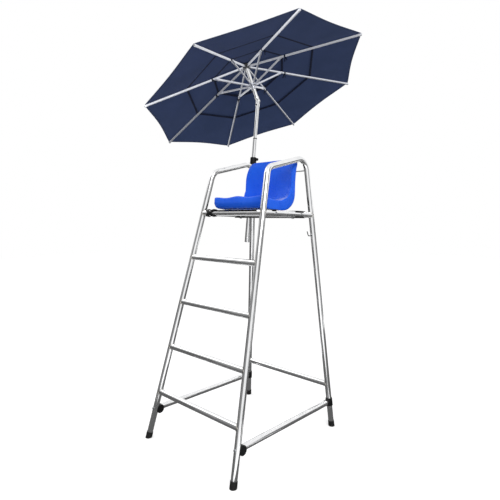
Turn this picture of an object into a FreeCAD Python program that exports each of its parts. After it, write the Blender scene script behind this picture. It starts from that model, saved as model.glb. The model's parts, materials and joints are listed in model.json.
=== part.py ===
import FreeCAD, Part
import Sketcher
import math
import os

# Lifeguard chair with a tilting umbrella.
# The front is the ladder side and faces -Y. Left and right are as seen from the front, +X to the right.
# The pieces are laid out about the middle of the base and then moved together, so that the origin
# of the part is on the floor, under the middle of the whole object.

DRIVING_SIZES = [
    ("tube_diameter", 38.0, "legs, armrests, rungs, rails and bars"),
    ("tube_wall", 1.5, "wall of the frame tubes"),
    ("bend_radius", 75.0, "centre line of the bends at the ends of the armrests"),
    ("base_half_width", 403.0, "middle of the base to the centre line of a leg, at the floor"),
    ("side_lean", 4.944, "degrees that each side frame leans inwards"),
    ("front_foot_reach", 564.0, "middle of the base to the front legs, at the floor"),
    ("front_leg_rake", 14.45, "degrees that the front legs lean back"),
    ("rear_foot_reach", 414.5, "middle of the base to the rear legs, at the floor"),
    ("rear_leg_rake", 3.616, "degrees that the rear legs lean forward"),
    ("armrest_front_height", 1780.0, "height of the front corner of the armrest line"),
    ("armrest_rise", 13.8, "degrees that the armrest rises towards the back"),
    ("rung_first_height", 300.0, "floor to the lowest rung"),
    ("rung_pitch", 300.0, "height from rung to rung"),
    ("rung_count", 4, "number of rungs"),
    ("seat_bar_height", 1500.0, "floor to the centre of the front seat bar"),
    ("seat_rail_drop", 14.0, "how much lower the seat rails end at the rear legs"),
    ("rear_bar_height", 300.0, "floor to the lower rear bar"),
    ("back_rod_drop", 88.5, "thin rod behind the seat back, below the corner of the armrest line"),
    ("back_rod_diameter", 12.0, "thin rod behind the seat back"),
    ("crossbar_front_height", 190.0, "lower crossbar at the front leg"),
    ("crossbar_rear_height", 175.0, "lower crossbar at the rear leg"),
    ("saddle_radius", 29.0, "half-moon saddle between a front leg and its crossbar"),
    ("saddle_offset", 26.0, "centre of the saddle from the leg's centre line"),
    ("saddle_thickness", 41.0, "half-moon saddle, across the side frame"),
    ("sleeve_radius", 23.5, "black sleeve round a rear leg"),
    ("sleeve_height", 52.0, "black sleeve along the rear leg"),
    ("sleeve_reach", 42.0, "socket of the sleeve, from the leg's centre line"),
    ("crossbar_rear_gap", 30.0, "end of the crossbar from the rear leg's centre line"),
    ("spigot_length", 22.0, "plug of a saddle inside the crossbar"),
    ("saddle_bolt_depth", 40.0, "crossbar bolt in the saddle, from the leg's centre line"),
    ("foot_cap_diameter", 43.0, "rubber foot cap"),
    ("foot_cap_height", 38.0, "rubber foot cap along the leg"),
    ("foot_cap_floor", 14.0, "rubber under the end of the leg"),
    ("bolt_diameter", 8.0, "bolts of the frame and the seat"),
    ("bolt_head_width", 13.0, "bolt heads and nuts"),
    ("bolt_head_height", 5.5, "bolt heads and nuts"),
    ("hole_clearance", 0.4, "how much wider a bolt's hole is than the bolt"),
    ("support_front_place", -78.0, "front seat support, from the middle of the base"),
    ("support_rear_place", 182.0, "rear seat support, from the middle of the base"),
    ("support_front_width", 40.0, "front seat support along the rails"),
    ("support_rear_width", 88.0, "rear seat support along the rails"),
    ("support_thickness", 4.0, "seat support strip"),
    ("support_tab_depth", 36.0, "tab of a seat support, down beside the rail"),
    ("strap_place", 184.0, "clamp strap under the rails, from the middle of the base"),
    ("strap_width", 82.0, "clamp strap along the rails"),
    ("strap_bolt_place", 158.0, "bolts of the clamp strap, from the middle of the base"),
    ("strap_thickness", 5.0, "clamp strap"),
    ("seat_half_width", 215.0, "bucket seat, middle to side"),
    ("seat_front_overhang", 56.0, "bucket seat ahead of the front support"),
    ("seat_depth", 356.0, "bucket seat, front lip to the back of the shell"),
    ("seat_pan_height", 48.0, "underside of the seat to where one sits"),
    ("seat_rim_height", 70.0, "underside of the seat to the sides of the pan"),
    ("seat_lip_height", 82.0, "underside of the seat to its front lip"),
    ("seat_lip_wave", 5.0, "rise and dip along the front lip"),
    ("seat_back_height", 358.0, "underside of the seat to the top of its back"),
    ("seat_back_thickness", 24.0, "back of the bucket seat at the middle"),
    ("seat_wing_thickness", 46.0, "back of the bucket seat at its sides"),
    ("seat_back_bow", 8.0, "how far the middle of the back lies behind its sides"),
    ("seat_bolt_half_spacing", 120.0, "seat bolts, from the middle"),
    ("seat_bolt_grip", 18.0, "seat bolts inside the seat"),
    ("hook_drop", 141.0, "bag hook below the rear end of the seat rail"),
    ("hook_wire", 6.0, "bag hook"),
    ("hook_reach", 70.0, "bag hook ahead of the leg's centre line"),
    ("hook_rise", 30.0, "turned-up end of the bag hook"),
    ("tie_place", -190.0, "crossed tie on the front seat bar, from the middle"),
    ("tie_angle", 58.0, "degrees that each band of the tie leans"),
    ("tie_band_width", 10.0, "band of the tie"),
    ("tie_band_thickness", 3.0, "band of the tie"),
    ("holder_offset", 42.0, "umbrella holder, outboard of the left side frame"),
    ("holder_bottom", 1276.0, "floor to the bottom of the umbrella holder"),
    ("holder_top", 1900.0, "floor to the top of the umbrella holder"),
    ("holder_top_reach", 336.4, "umbrella holder behind the middle of the base, at its top"),
    ("holder_rake", 1.312, "degrees that the umbrella holder leans back"),
    ("holder_diameter", 38.0, "umbrella holder"),
    ("bracket_low_height", 1330.0, "lower bracket of the holder"),
    ("bracket_high_height", 1740.0, "upper bracket of the holder"),
    ("bracket_height", 40.0, "brackets of the holder"),
    ("bracket_thickness", 5.0, "brackets of the holder"),
    ("stop_pin_diameter", 6.0, "pin across the bottom of the holder"),
    ("stop_pin_height", 14.0, "stop pin above the bottom of the holder"),
    ("collar_radius", 24.0, "black collar on top of the holder"),
    ("collar_height", 55.0, "black collar"),
    ("collar_overlap", 25.0, "black collar over the holder"),
    ("knob_diameter", 20.0, "head of the clamp knob"),
    ("knob_thickness", 12.0, "head of the clamp knob"),
    ("knob_screw_diameter", 8.0, "screw of the clamp knob"),
    ("lower_pole_diameter", 32.0, "lower pole"),
    ("lower_pole_top", 2067.0, "floor to the top of the lower pole"),
    ("pole_wall", 1.5, "wall of the poles"),
    ("slim_pole_diameter", 25.0, "upper pole and canopy pole"),
    ("pole_overlap", 130.0, "upper pole inside the lower pole"),
    ("sliding_gap", 0.3, "clearance round a sliding or turning pole"),
    ("tilt_height", 2345.0, "floor to the tilt pin"),
    ("umbrella_heading", 6.76, "degrees that the umbrella is turned about its pole"),
    ("umbrella_tilt", 27.15, "degrees that the canopy is tilted from its pole"),
    ("head_radius", 15.0, "tilt head"),
    ("head_gap", 14.6, "slot of the tilt fork"),
    ("head_shoulder", 16.0, "tilt pin to the shoulders of the fork and the knuckle"),
    ("head_length", 20.0, "solid part of the fork and of the knuckle"),
    ("head_spigot", 30.0, "spigots of the tilt head in the poles"),
    ("tilt_pin_diameter", 7.0, "tilt pin"),
    ("button_diameter", 10.0, "tilt button"),
    ("button_stroke", 3.0, "tilt button travel"),
    ("button_drop", 27.0, "tilt pin to the tilt button"),
    ("hub_height", 300.4, "tilt pin to where the ribs' lines meet"),
    ("hub_radius", 30.0, "top hub"),
    ("hub_thickness", 22.0, "top hub"),
    ("hub_wire_radius", 20.0, "ring that the ribs hang on"),
    ("ring_wire", 3.0, "wire of both rings"),
    ("rib_count", 8, "number of ribs"),
    ("rib_turn", 11.26, "degrees of the first rib from the low side"),
    ("rib_reach", 844.0, "hub axis to the tips of the ribs"),
    ("rib_drop", 237.9, "how much lower the tips of the ribs are"),
    ("rib_width", 9.0, "ribs across"),
    ("rib_depth", 12.0, "ribs in height"),
    ("rib_wall", 1.0, "wall of the ribs"),
    ("blade_thickness", 5.0, "flat ends of ribs and struts"),
    ("blade_gap", 0.7, "clearance on each side of a flat end"),
    ("blade_reach", 14.0, "rings to where the ribs and struts have their full section"),
    ("blade_overlap", 9.0, "flat ends inside the ribs and struts"),
    ("strut_share", 0.3303, "how far along the rib the strut meets it"),
    ("strut_width", 9.0, "struts across"),
    ("strut_depth", 11.0, "struts in height"),
    ("strut_fork_wall", 2.0, "cheeks of the strut's fork"),
    ("strut_fork_length", 24.0, "rivet to the base of the strut's fork"),
    ("strut_fork_bridge", 9.0, "solid base of the strut's fork"),
    ("rivet_diameter", 5.0, "rivet between rib and strut"),
    ("rivet_clearance", 1.0, "clearance round the rivet in the strut's fork"),
    ("tip_cap_length", 22.0, "caps on the rib ends"),
    ("tip_cap_wall", 0.8, "caps on the rib ends"),
    ("runner_height", 137.0, "tilt pin to the struts' ring, at rest"),
    ("runner_radius", 29.0, "runner flange"),
    ("runner_thickness", 18.0, "runner flange"),
    ("runner_sleeve", 24.0, "runner below its flange"),
    ("runner_wire_radius", 19.0, "ring that the struts hang on"),
    ("runner_travel", 60.0, "runner travel, down to the tilt head"),
    ("cloth_thickness", 1.5, "canopy cloth"),
    ("cloth_clearance", 0.5, "cloth above the caps of the ribs"),
    ("cloth_scallop", 26.0, "how far the hem draws in between two ribs"),
    ("seam_gap", 0.3, "cloth from the line half-way between two ribs"),
    ("lower_tier_start", 0.60, "inner edge of the lower tier as a share of the rib"),
    ("middle_tier_start", 0.33, "inner edge of the middle tier"),
    ("middle_tier_end", 0.645, "outer edge of the middle tier"),
    ("top_tier_end", 0.385, "outer edge of the top tier"),
    ("vent_gap", 8.0, "height between two tiers at a vent"),
    ("finial_radius", 17.0, "finial"),
    ("finial_height", 24.0, "finial"),
]

document = FreeCAD.newDocument("lifeguard_chair")
sheet = document.addObject("Spreadsheet::Sheet", "sizes")
sheet.Label = "driving dimensions"
for row, (alias, value, meaning) in enumerate(DRIVING_SIZES, start=1):
    sheet.set("A%d" % row, meaning)
    sheet.set("B%d" % row, str(value))
    sheet.setAlias("B%d" % row, alias)
document.recompute()

nodes = []


def size(alias):
    return float(sheet.get(alias))


def slope(alias):
    return math.tan(math.radians(size(alias)))


def vector(x, y, z):
    return FreeCAD.Vector(x, y, z)


def unit(direction):
    result = FreeCAD.Vector(direction)
    result.normalize()
    return result


def aimed(origin, along, across):
    """A placement with its local Z along one direction and its local Y close to another."""
    local_z = unit(along)
    local_y = unit(across - local_z * across.dot(local_z))
    return FreeCAD.Placement(origin, FreeCAD.Rotation(local_y.cross(local_z), local_y, local_z, "ZYX"))


def within(place, x, y, z):
    """A point given in a placement's own axes."""
    return place.multVec(vector(x, y, z))


def heading(place, x, y, z):
    """A direction given in a placement's own axes."""
    return place.Rotation.multVec(vector(x, y, z))


def bind(item, name, value):
    """Set a property from a number or from an expression on the sheet."""
    if isinstance(value, str):
        item.setExpression(name, value)
    else:
        setattr(item, name, value)


def rod(name, place, length, radius):
    item = document.addObject("Part::Cylinder", name)
    bind(item, "Radius", radius)
    bind(item, "Height", length)
    item.Placement = place
    return item


def rod_between(name, start, end, radius):
    reach = end - start
    return rod(name, aimed(start, reach, side_hint(reach)), reach.Length, radius)


def side_hint(direction):
    """A direction that is never along the given one."""
    return vector(1, 0, 0) if abs(unit(direction).x) < 0.7 else vector(0, 1, 0)


def block(name, place, length, width, height):
    """A box centred on the placement in X and Y, from its origin up in Z."""
    item = document.addObject("Part::Box", name)
    bind(item, "Length", length)
    bind(item, "Width", width)
    bind(item, "Height", height)
    document.recompute([item])
    corner = vector(-item.Length.Value / 2, -item.Width.Value / 2, 0)
    item.Placement = place.multiply(FreeCAD.Placement(corner, FreeCAD.Rotation()))
    return item


def hexagon(name, place, width, height):
    item = document.addObject("Part::Prism", name)
    item.Polygon = 6
    item.Circumradius = width / math.sqrt(3)
    item.Height = height
    item.Placement = place
    return item


def ring(name, place, radius, wire):
    item = document.addObject("Part::Torus", name)
    bind(item, "Radius1", radius)
    bind(item, "Radius2", wire)
    item.Placement = place
    return item


def joined(name, items):
    item = document.addObject("Part::MultiFuse", name)
    item.Shapes = items
    return item


def grouped(name, items):
    item = document.addObject("Part::Compound", name)
    item.Links = items
    return item


def cut(name, base, tools):
    item = document.addObject("Part::Cut", name)
    item.Base = base
    item.Tool = tools[0] if len(tools) == 1 else joined(name + "_tools", tools)
    return item


def overlap(name, base, tool):
    item = document.addObject("Part::Common", name)
    item.Base = base
    item.Tool = tool
    return item


def node(label, item):
    item.Label = label
    nodes.append(item)
    return item


def origin_plane(body, role):
    return next(item for item in body.Origin.OriginFeatures if item.Role == role)


def sketch_on(body, role, name):
    sketch = body.newObject("Sketcher::SketchObject", name)
    sketch.AttachmentSupport = [(origin_plane(body, role), "")]
    sketch.MapMode = "FlatFace"
    return sketch


def draw_circle(sketch, radius, diameter_expression):
    circle = Part.Circle(vector(0, 0, 0), vector(0, 0, 1), radius)
    index = sketch.addGeometry(circle, False)
    sketch.addConstraint(Sketcher.Constraint("Coincident", index, 3, -1, 1))
    row = sketch.addConstraint(Sketcher.Constraint("Diameter", index, 2 * radius))
    sketch.setExpression("Constraints[%d]" % row, diameter_expression)


def draw_outline(sketch, points):
    """A closed outline of straight lines."""
    for start, end in zip(points, points[1:] + points[:1]):
        line = Part.LineSegment(vector(start[0], start[1], 0), vector(end[0], end[1], 0))
        sketch.addGeometry(line, False)


def draw_bent_line(sketch, points, radius):
    """An open line through the points, with an arc at each corner."""
    corners = [vector(x, y, 0) for x, y in points]
    start = corners[0]
    count = 0
    for before, corner, after in zip(corners, corners[1:], corners[2:]):
        back = unit(before - corner)
        ahead = unit(after - corner)
        half = back.getAngle(ahead) / 2
        tangent = radius / math.tan(half)
        middle = unit(back + ahead)
        arc_start = corner + back * tangent
        arc_end = corner + ahead * tangent
        arc_middle = corner + middle * (radius / math.sin(half) - radius)
        sketch.addGeometry(Part.LineSegment(start, arc_start), False)
        sketch.addGeometry(Part.Arc(arc_start, arc_middle, arc_end), False)
        start = arc_end
        count += 2
    sketch.addGeometry(Part.LineSegment(start, corners[-1]), False)
    return count + 1


def bent_tube(name, place, points, radius, diameter, bore=None):
    """A tube or wire swept along a bent line in the body's YZ plane, starting up its Z axis."""
    body = document.addObject("PartDesign::Body", name)
    section = sketch_on(body, "XY_Plane", name + "_section")
    draw_circle(section, size(diameter) / 2, "sizes." + diameter)
    if bore:
        draw_circle(section, size(diameter) / 2 - size(bore), "sizes.%s - 2 * sizes.%s" % (diameter, bore))
    path = sketch_on(body, "YZ_Plane", name + "_path")
    edges = draw_bent_line(path, points, radius)
    document.recompute()
    pipe = body.newObject("PartDesign::AdditivePipe", name + "_pipe")
    pipe.Profile = section
    pipe.Spine = (path, ["Edge%d" % number for number in range(1, edges + 1)])
    body.Placement = place
    return body


def turned(name, place, outline):
    """A solid of revolution about the body's Z axis, from (radius, height) points."""
    body = document.addObject("PartDesign::Body", name)
    sketch = sketch_on(body, "XZ_Plane", name + "_outline")
    draw_outline(sketch, outline)
    document.recompute()
    turn = body.newObject("PartDesign::Revolution", name + "_turn")
    turn.Profile = sketch
    turn.ReferenceAxis = (sketch, ["V_Axis"])
    turn.Angle = 360
    body.Placement = place
    return body


def straight_tube(name, start, end, diameter, wall, cutters=()):
    """A tube between two points, whose ends are shaped by the pieces that it meets."""
    outside = rod_between(name + "_outside", start, end, "sizes.%s / 2" % diameter)
    bore_radius = "sizes.%s / 2 - sizes.%s" % (diameter, wall)
    bore = rod_between(name + "_bore", start, end, bore_radius)
    return cut(name, outside, [bore] + list(cutters))


# Lines of the frame

tube_radius = size("tube_diameter") / 2
lean = slope("side_lean")
LEFT = -1
RIGHT = 1


def side_x(side, height):
    return side * (size("base_half_width") - lean * height)


def front_leg(side, height):
    reach = -size("front_foot_reach") + height * slope("front_leg_rake")
    return vector(side_x(side, height), reach, height)


def rear_leg(side, height):
    reach = size("rear_foot_reach") - height * slope("rear_leg_rake")
    return vector(side_x(side, height), reach, height)


def armrest_rear_height():
    """Where the armrest's line meets the rear leg's line."""
    front = front_leg(RIGHT, size("armrest_front_height"))
    rise = slope("armrest_rise")
    rear_base = size("rear_foot_reach") - front.y
    return (front.z + rear_base * rise) / (1 + rise * slope("rear_leg_rake"))


def back_rod_end(side):
    return rear_leg(side, armrest_rear_height() - size("back_rod_drop"))


front_direction = {side: unit(front_leg(side, 1000) - front_leg(side, 0)) for side in (LEFT, RIGHT)}
rear_direction = {side: unit(rear_leg(side, 1000) - rear_leg(side, 0)) for side in (LEFT, RIGHT)}
leg_cutter_length = size("seat_bar_height") * 1.15
front_leg_cutter = {}
rear_leg_cutter = {}
for side in (LEFT, RIGHT):
    front_leg_cutter[side] = rod_between(
        "front_leg_line", front_leg(side, 0), front_leg(side, leg_cutter_length), "sizes.tube_diameter / 2")
    rear_leg_cutter[side] = rod_between(
        "rear_leg_line", rear_leg(side, 0),
        rear_leg(side, max(leg_cutter_length, back_rod_end(side).z + tube_radius)), "sizes.tube_diameter / 2")

bolt_radius = size("bolt_diameter") / 2
bolt_hole_radius = bolt_radius + size("hole_clearance") / 2


def rail_point(side, reach):
    """A point on the centre line of a seat rail, at a distance from the middle of the base."""
    start = front_leg(side, size("seat_bar_height"))
    end = rear_leg(side, size("seat_bar_height") - size("seat_rail_drop"))
    share = (reach - start.y) / (end.y - start.y)
    return start + (end - start) * share


def crossbar_line(side):
    start = front_leg(side, size("crossbar_front_height"))
    end = rear_leg(side, size("crossbar_rear_height"))
    return start, end


def saddle_direction(side):
    """Square to a front leg, within its side frame, towards the rear."""
    bar_start, bar_end = crossbar_line(side)
    ahead = bar_end - bar_start
    along = front_direction[side]
    return unit(ahead - along * ahead.dot(along))


# Side frames: one bent tube each

def side_frame(side, label):
    along = front_direction[side]
    start = front_leg(side, 0) + along * size("foot_cap_floor")
    place = aimed(start, along, vector(0, 1, 0))
    local_y = heading(place, 0, 1, 0)
    rear_top = rear_leg(side, armrest_rear_height())
    end = rear_leg(side, 0) + rear_direction[side] * size("foot_cap_floor")
    route = [start, front_leg(side, size("armrest_front_height")), rear_top, end]
    points = [((point - start).dot(local_y), (point - start).dot(along)) for point in route]
    tube = bent_tube(label + "_tube", place, points, size("bend_radius"), "tube_diameter", "tube_wall")
    centre = front_leg(side, size("crossbar_front_height"))
    across = saddle_direction(side) * (tube_radius * 2)
    hole = rod_between(label + "_bolt_hole", centre - across, centre + across, bolt_hole_radius)
    return cut(label, tube, [hole])


node("side_frame_left", side_frame(LEFT, "side_frame_left"))
node("side_frame_right", side_frame(RIGHT, "side_frame_right"))

# Ladder rungs and the bars between the legs


def bar_between_legs(name, height, leg, cutter, extra=(), diameter="tube_diameter"):
    cutters = [cutter[LEFT], cutter[RIGHT]] + list(extra)
    return straight_tube(name, leg(LEFT, height), leg(RIGHT, height), diameter, "tube_wall", cutters)


rungs = []
for number in range(int(size("rung_count"))):
    rung_height = size("rung_first_height") + number * size("rung_pitch")
    rungs.append(bar_between_legs("rung_%d" % (number + 1), rung_height, front_leg, front_leg_cutter))
node("ladder_rungs", grouped("ladder_rungs", rungs))

rail_front_height = size("seat_bar_height")
rail_rear_height = size("seat_bar_height") - size("seat_rail_drop")
rail_solid = {}
for side in (LEFT, RIGHT):
    rail_solid[side] = rod_between(
        "seat_rail_line", front_leg(side, rail_front_height), rear_leg(side, rail_rear_height),
        "sizes.tube_diameter / 2")
rail_solids = [rail_solid[LEFT], rail_solid[RIGHT]]
node("seat_front_bar", bar_between_legs(
    "seat_front_bar", rail_front_height, front_leg, front_leg_cutter, rail_solids))
node("seat_rear_bar", bar_between_legs(
    "seat_rear_bar", rail_rear_height, rear_leg, rear_leg_cutter, rail_solids))
node("lower_rear_bar", bar_between_legs(
    "lower_rear_bar", size("rear_bar_height"), rear_leg, rear_leg_cutter))
node("back_rod", cut("back_rod", rod_between(
    "back_rod_line", back_rod_end(LEFT), back_rod_end(RIGHT),
    "sizes.back_rod_diameter / 2"), [rear_leg_cutter[LEFT], rear_leg_cutter[RIGHT]]))

# Seat rails, with the holes of the support bolts


def cross_rod(name, side, reach, inner, outer, radius):
    """A rod along X through a seat rail, from so far inboard to so far outboard of its centre."""
    centre = rail_point(side, reach)
    start = centre - vector(side * inner, 0, 0)
    end = centre + vector(side * outer, 0, 0)
    return rod_between(name, start, end, radius)


support_bolt_places = [size("support_front_place"), size("support_rear_place")]


def seat_rail(side, label):
    holes = [
        cross_rod(label + "_hole", side, reach, tube_radius * 1.5, tube_radius * 1.5, bolt_hole_radius)
        for reach in support_bolt_places
    ]
    return straight_tube(
        label, front_leg(side, rail_front_height), rear_leg(side, rail_rear_height), "tube_diameter",
        "tube_wall", [front_leg_cutter[side], rear_leg_cutter[side]] + holes)


node("seat_rail_left", seat_rail(LEFT, "seat_rail_left"))
node("seat_rail_right", seat_rail(RIGHT, "seat_rail_right"))

# Lower crossbars with their black end fittings and bolts


def saddle_disc(name, side):
    """The round outside of a half-moon saddle, with its axis across the side frame."""
    across = unit(front_direction[side].cross(rear_direction[side]))
    centre = (front_leg(side, size("crossbar_front_height"))
              + saddle_direction(side) * size("saddle_offset"))
    start = centre - across * (size("saddle_thickness") / 2)
    return rod_between(name, start, start + across * size("saddle_thickness"), "sizes.saddle_radius")


def lower_crossbar(side, label):
    start, end = crossbar_line(side)
    ahead = unit(end - start)
    bar_end = end - ahead * size("crossbar_rear_gap")
    return straight_tube(label, start, bar_end, "tube_diameter", "tube_wall", [
        front_leg_cutter[side], saddle_disc(label + "_saddle_disc", side)])


def front_saddle(side, name):
    start, end = crossbar_line(side)
    ahead = unit(end - start)
    depth = size("saddle_offset") + size("saddle_radius")
    rear_half = block(
        name + "_rear_half", aimed(start, saddle_direction(side), front_direction[side]),
        size("saddle_thickness") * 2, size("saddle_radius") * 3, depth * 2)
    moon = overlap(name + "_moon", saddle_disc(name + "_disc", side), rear_half)
    spigot = rod_between(
        name + "_spigot", start, start + ahead * (depth + size("spigot_length")),
        "sizes.tube_diameter / 2 - sizes.tube_wall")
    bolt_hole = rod_between(
        name + "_bolt_hole", start, start + saddle_direction(side) * size("saddle_bolt_depth"),
        bolt_hole_radius)
    return cut(name, joined(name + "_blank", [moon, spigot]), [front_leg_cutter[side], bolt_hole])


def rear_sleeve(side, name):
    start, end = crossbar_line(side)
    ahead = unit(end - start)
    up = rear_direction[side]
    low = end - up * (size("sleeve_height") / 2)
    sleeve = rod_between(name + "_ring", low, low + up * size("sleeve_height"), "sizes.sleeve_radius")
    socket = rod_between(
        name + "_socket", end, end - ahead * size("sleeve_reach"), "sizes.tube_diameter / 2 + 3")
    bar = rod_between(
        name + "_bar", end - ahead * size("crossbar_rear_gap"), end - ahead * size("sleeve_reach") * 2,
        "sizes.tube_diameter / 2")
    return cut(name, joined(name + "_blank", [sleeve, socket]), [rear_leg_cutter[side], bar])


def bolt(name, head_base, along, length, nut_gap=None):
    """A hexagon bolt: its head lies behind the base point, its shank runs along the direction."""
    width = size("bolt_head_width")
    height = size("bolt_head_height")
    hint = side_hint(along)
    pieces = [
        hexagon(name + "_head", aimed(head_base - along * height, along, hint), width, height),
        rod(name + "_shank", aimed(head_base - along * height, along, hint), length + height,
            "sizes.bolt_diameter / 2"),
    ]
    if nut_gap is not None:
        nut_place = aimed(head_base + along * nut_gap, along, hint)
        pieces.append(hexagon(name + "_nut", nut_place, width, height))
    return joined(name, pieces)


node("lower_crossbar_left", lower_crossbar(LEFT, "lower_crossbar_left"))
node("lower_crossbar_right", lower_crossbar(RIGHT, "lower_crossbar_right"))
node("crossbar_end_fittings", grouped("crossbar_end_fittings", [
    front_saddle(LEFT, "front_saddle_left"), front_saddle(RIGHT, "front_saddle_right"),
    rear_sleeve(LEFT, "rear_sleeve_left"), rear_sleeve(RIGHT, "rear_sleeve_right")]))

crossbar_bolts = []
for side in (LEFT, RIGHT):
    inward = saddle_direction(side)
    head_seat = front_leg(side, size("crossbar_front_height")) - inward * (tube_radius + 0.3)
    crossbar_bolts.append(bolt("crossbar_bolt", head_seat, inward, tube_radius + size("saddle_bolt_depth")))
node("crossbar_bolts", grouped("crossbar_bolts", crossbar_bolts))

# Rubber foot caps, cut flat on the floor


def foot_cap(name, foot, along, leg_cutter):
    outside = rod(
        name + "_outside", aimed(foot - along * size("foot_cap_height"), along, vector(1, 0, 0)),
        "sizes.foot_cap_height * 2", "sizes.foot_cap_diameter / 2")
    leg = rod(
        name + "_leg", aimed(foot + along * size("foot_cap_floor"), along, vector(1, 0, 0)),
        "sizes.foot_cap_height * 2", "sizes.tube_diameter / 2")
    depth = size("foot_cap_height") * 3
    ground_place = FreeCAD.Placement(foot - vector(0, 0, depth), FreeCAD.Rotation())
    ground = block(name + "_ground", ground_place, depth, depth, depth)
    return cut(name, outside, [leg, ground])


foot_caps = []
for side in (LEFT, RIGHT):
    foot_caps.append(foot_cap("front_foot_cap", front_leg(side, 0), front_direction[side], None))
    foot_caps.append(foot_cap("rear_foot_cap", rear_leg(side, 0), rear_direction[side], None))
node("foot_caps", grouped("foot_caps", foot_caps))

# Seat supports, clamp strap and fasteners

rail_direction = unit(vector(0, rail_point(RIGHT, 100).y - rail_point(RIGHT, 0).y,
                             rail_point(RIGHT, 100).z - rail_point(RIGHT, 0).z))
rail_normal = unit(vector(1, 0, 0).cross(rail_direction))


def on_rails(reach, height):
    """A placement at the middle of the chair, above the rails' centre line, level with their slope."""
    centre = rail_point(RIGHT, reach)
    origin = vector(0, centre.y, centre.z) + rail_normal * height
    return aimed(origin, rail_normal, rail_direction)


def rail_half_span(reach):
    return rail_point(RIGHT, reach).x


seat_bolt_x = size("seat_bolt_half_spacing")
strap_bolt_x = rail_half_span(size("strap_place")) - tube_radius - 14
strap_bolt_reach = size("strap_bolt_place")


def upright_hole(name, x, reach, radius):
    place = on_rails(reach, -tube_radius * 2)
    return rod(name, aimed(within(place, x, 0, 0), rail_normal, rail_direction), tube_radius * 5, radius)


def seat_support(name, reach, width, bolt_holes):
    half = rail_half_span(reach)
    strip = block(
        name + "_strip", on_rails(reach, tube_radius), 2 * (half + tube_radius), width,
        "sizes.support_thickness")
    pieces = [strip]
    for side in (LEFT, RIGHT):
        tab_x = side * (half - tube_radius - 0.5 - size("support_thickness") / 2)
        place = on_rails(reach, tube_radius - size("support_tab_depth"))
        tab_place = aimed(within(place, tab_x, 0, 0), rail_normal, rail_direction)
        pieces.append(block(
            name + "_tab", tab_place, "sizes.support_thickness", size("support_front_width") * 0.75,
            "sizes.support_tab_depth"))
    holes = [upright_hole(name + "_seat_hole", side * seat_bolt_x, reach, bolt_hole_radius)
             for side in (LEFT, RIGHT)]
    holes += [cross_rod(name + "_rail_hole", side, reach, tube_radius * 2, tube_radius, bolt_hole_radius)
              for side in (LEFT, RIGHT)]
    return cut(name, joined(name + "_blank", pieces), holes + bolt_holes)


def strap_holes(name):
    return [upright_hole(name, side * strap_bolt_x, strap_bolt_reach, bolt_hole_radius)
            for side in (LEFT, RIGHT)]


strap = cut(
    "seat_clamp_strap",
    block("clamp_strap_blank", on_rails(size("strap_place"), -tube_radius - size("strap_thickness")),
          2 * (rail_half_span(size("strap_place")) + tube_radius * 0.8), "sizes.strap_width",
          "sizes.strap_thickness"),
    strap_holes("clamp_strap_hole"))
node("seat_supports", grouped("seat_supports", [
    seat_support("seat_support_front", size("support_front_place"), "sizes.support_front_width", []),
    seat_support("seat_support_rear", size("support_rear_place"), "sizes.support_rear_width",
                 strap_holes("support_strap_hole")),
    strap]))

fasteners = []
for side in (LEFT, RIGHT):
    for reach in support_bolt_places:
        head_base = rail_point(side, reach) + vector(side * (tube_radius + 0.3), 0, 0)
        inner = 2 * tube_radius + 0.8 + size("support_thickness")
        fasteners.append(bolt("rail_bolt", head_base, vector(-side, 0, 0),
                              inner + size("bolt_head_height"), inner + 0.3))
        seat_place = on_rails(reach, tube_radius)
        fasteners.append(bolt(
            "seat_bolt", within(seat_place, side * seat_bolt_x, 0, -0.3), rail_normal,
            size("support_thickness") + size("seat_bolt_grip")))
    strap_place = on_rails(strap_bolt_reach, -tube_radius - size("strap_thickness"))
    grip = 2 * tube_radius + size("strap_thickness") + size("support_thickness")
    fasteners.append(bolt("strap_bolt", within(strap_place, side * strap_bolt_x, 0, -0.3), rail_normal,
                          grip + 0.3))
node("seat_fasteners", grouped("seat_fasteners", fasteners))

# Bucket seat: closed smooth sections from side to side, as a blow-moulded shell


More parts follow.
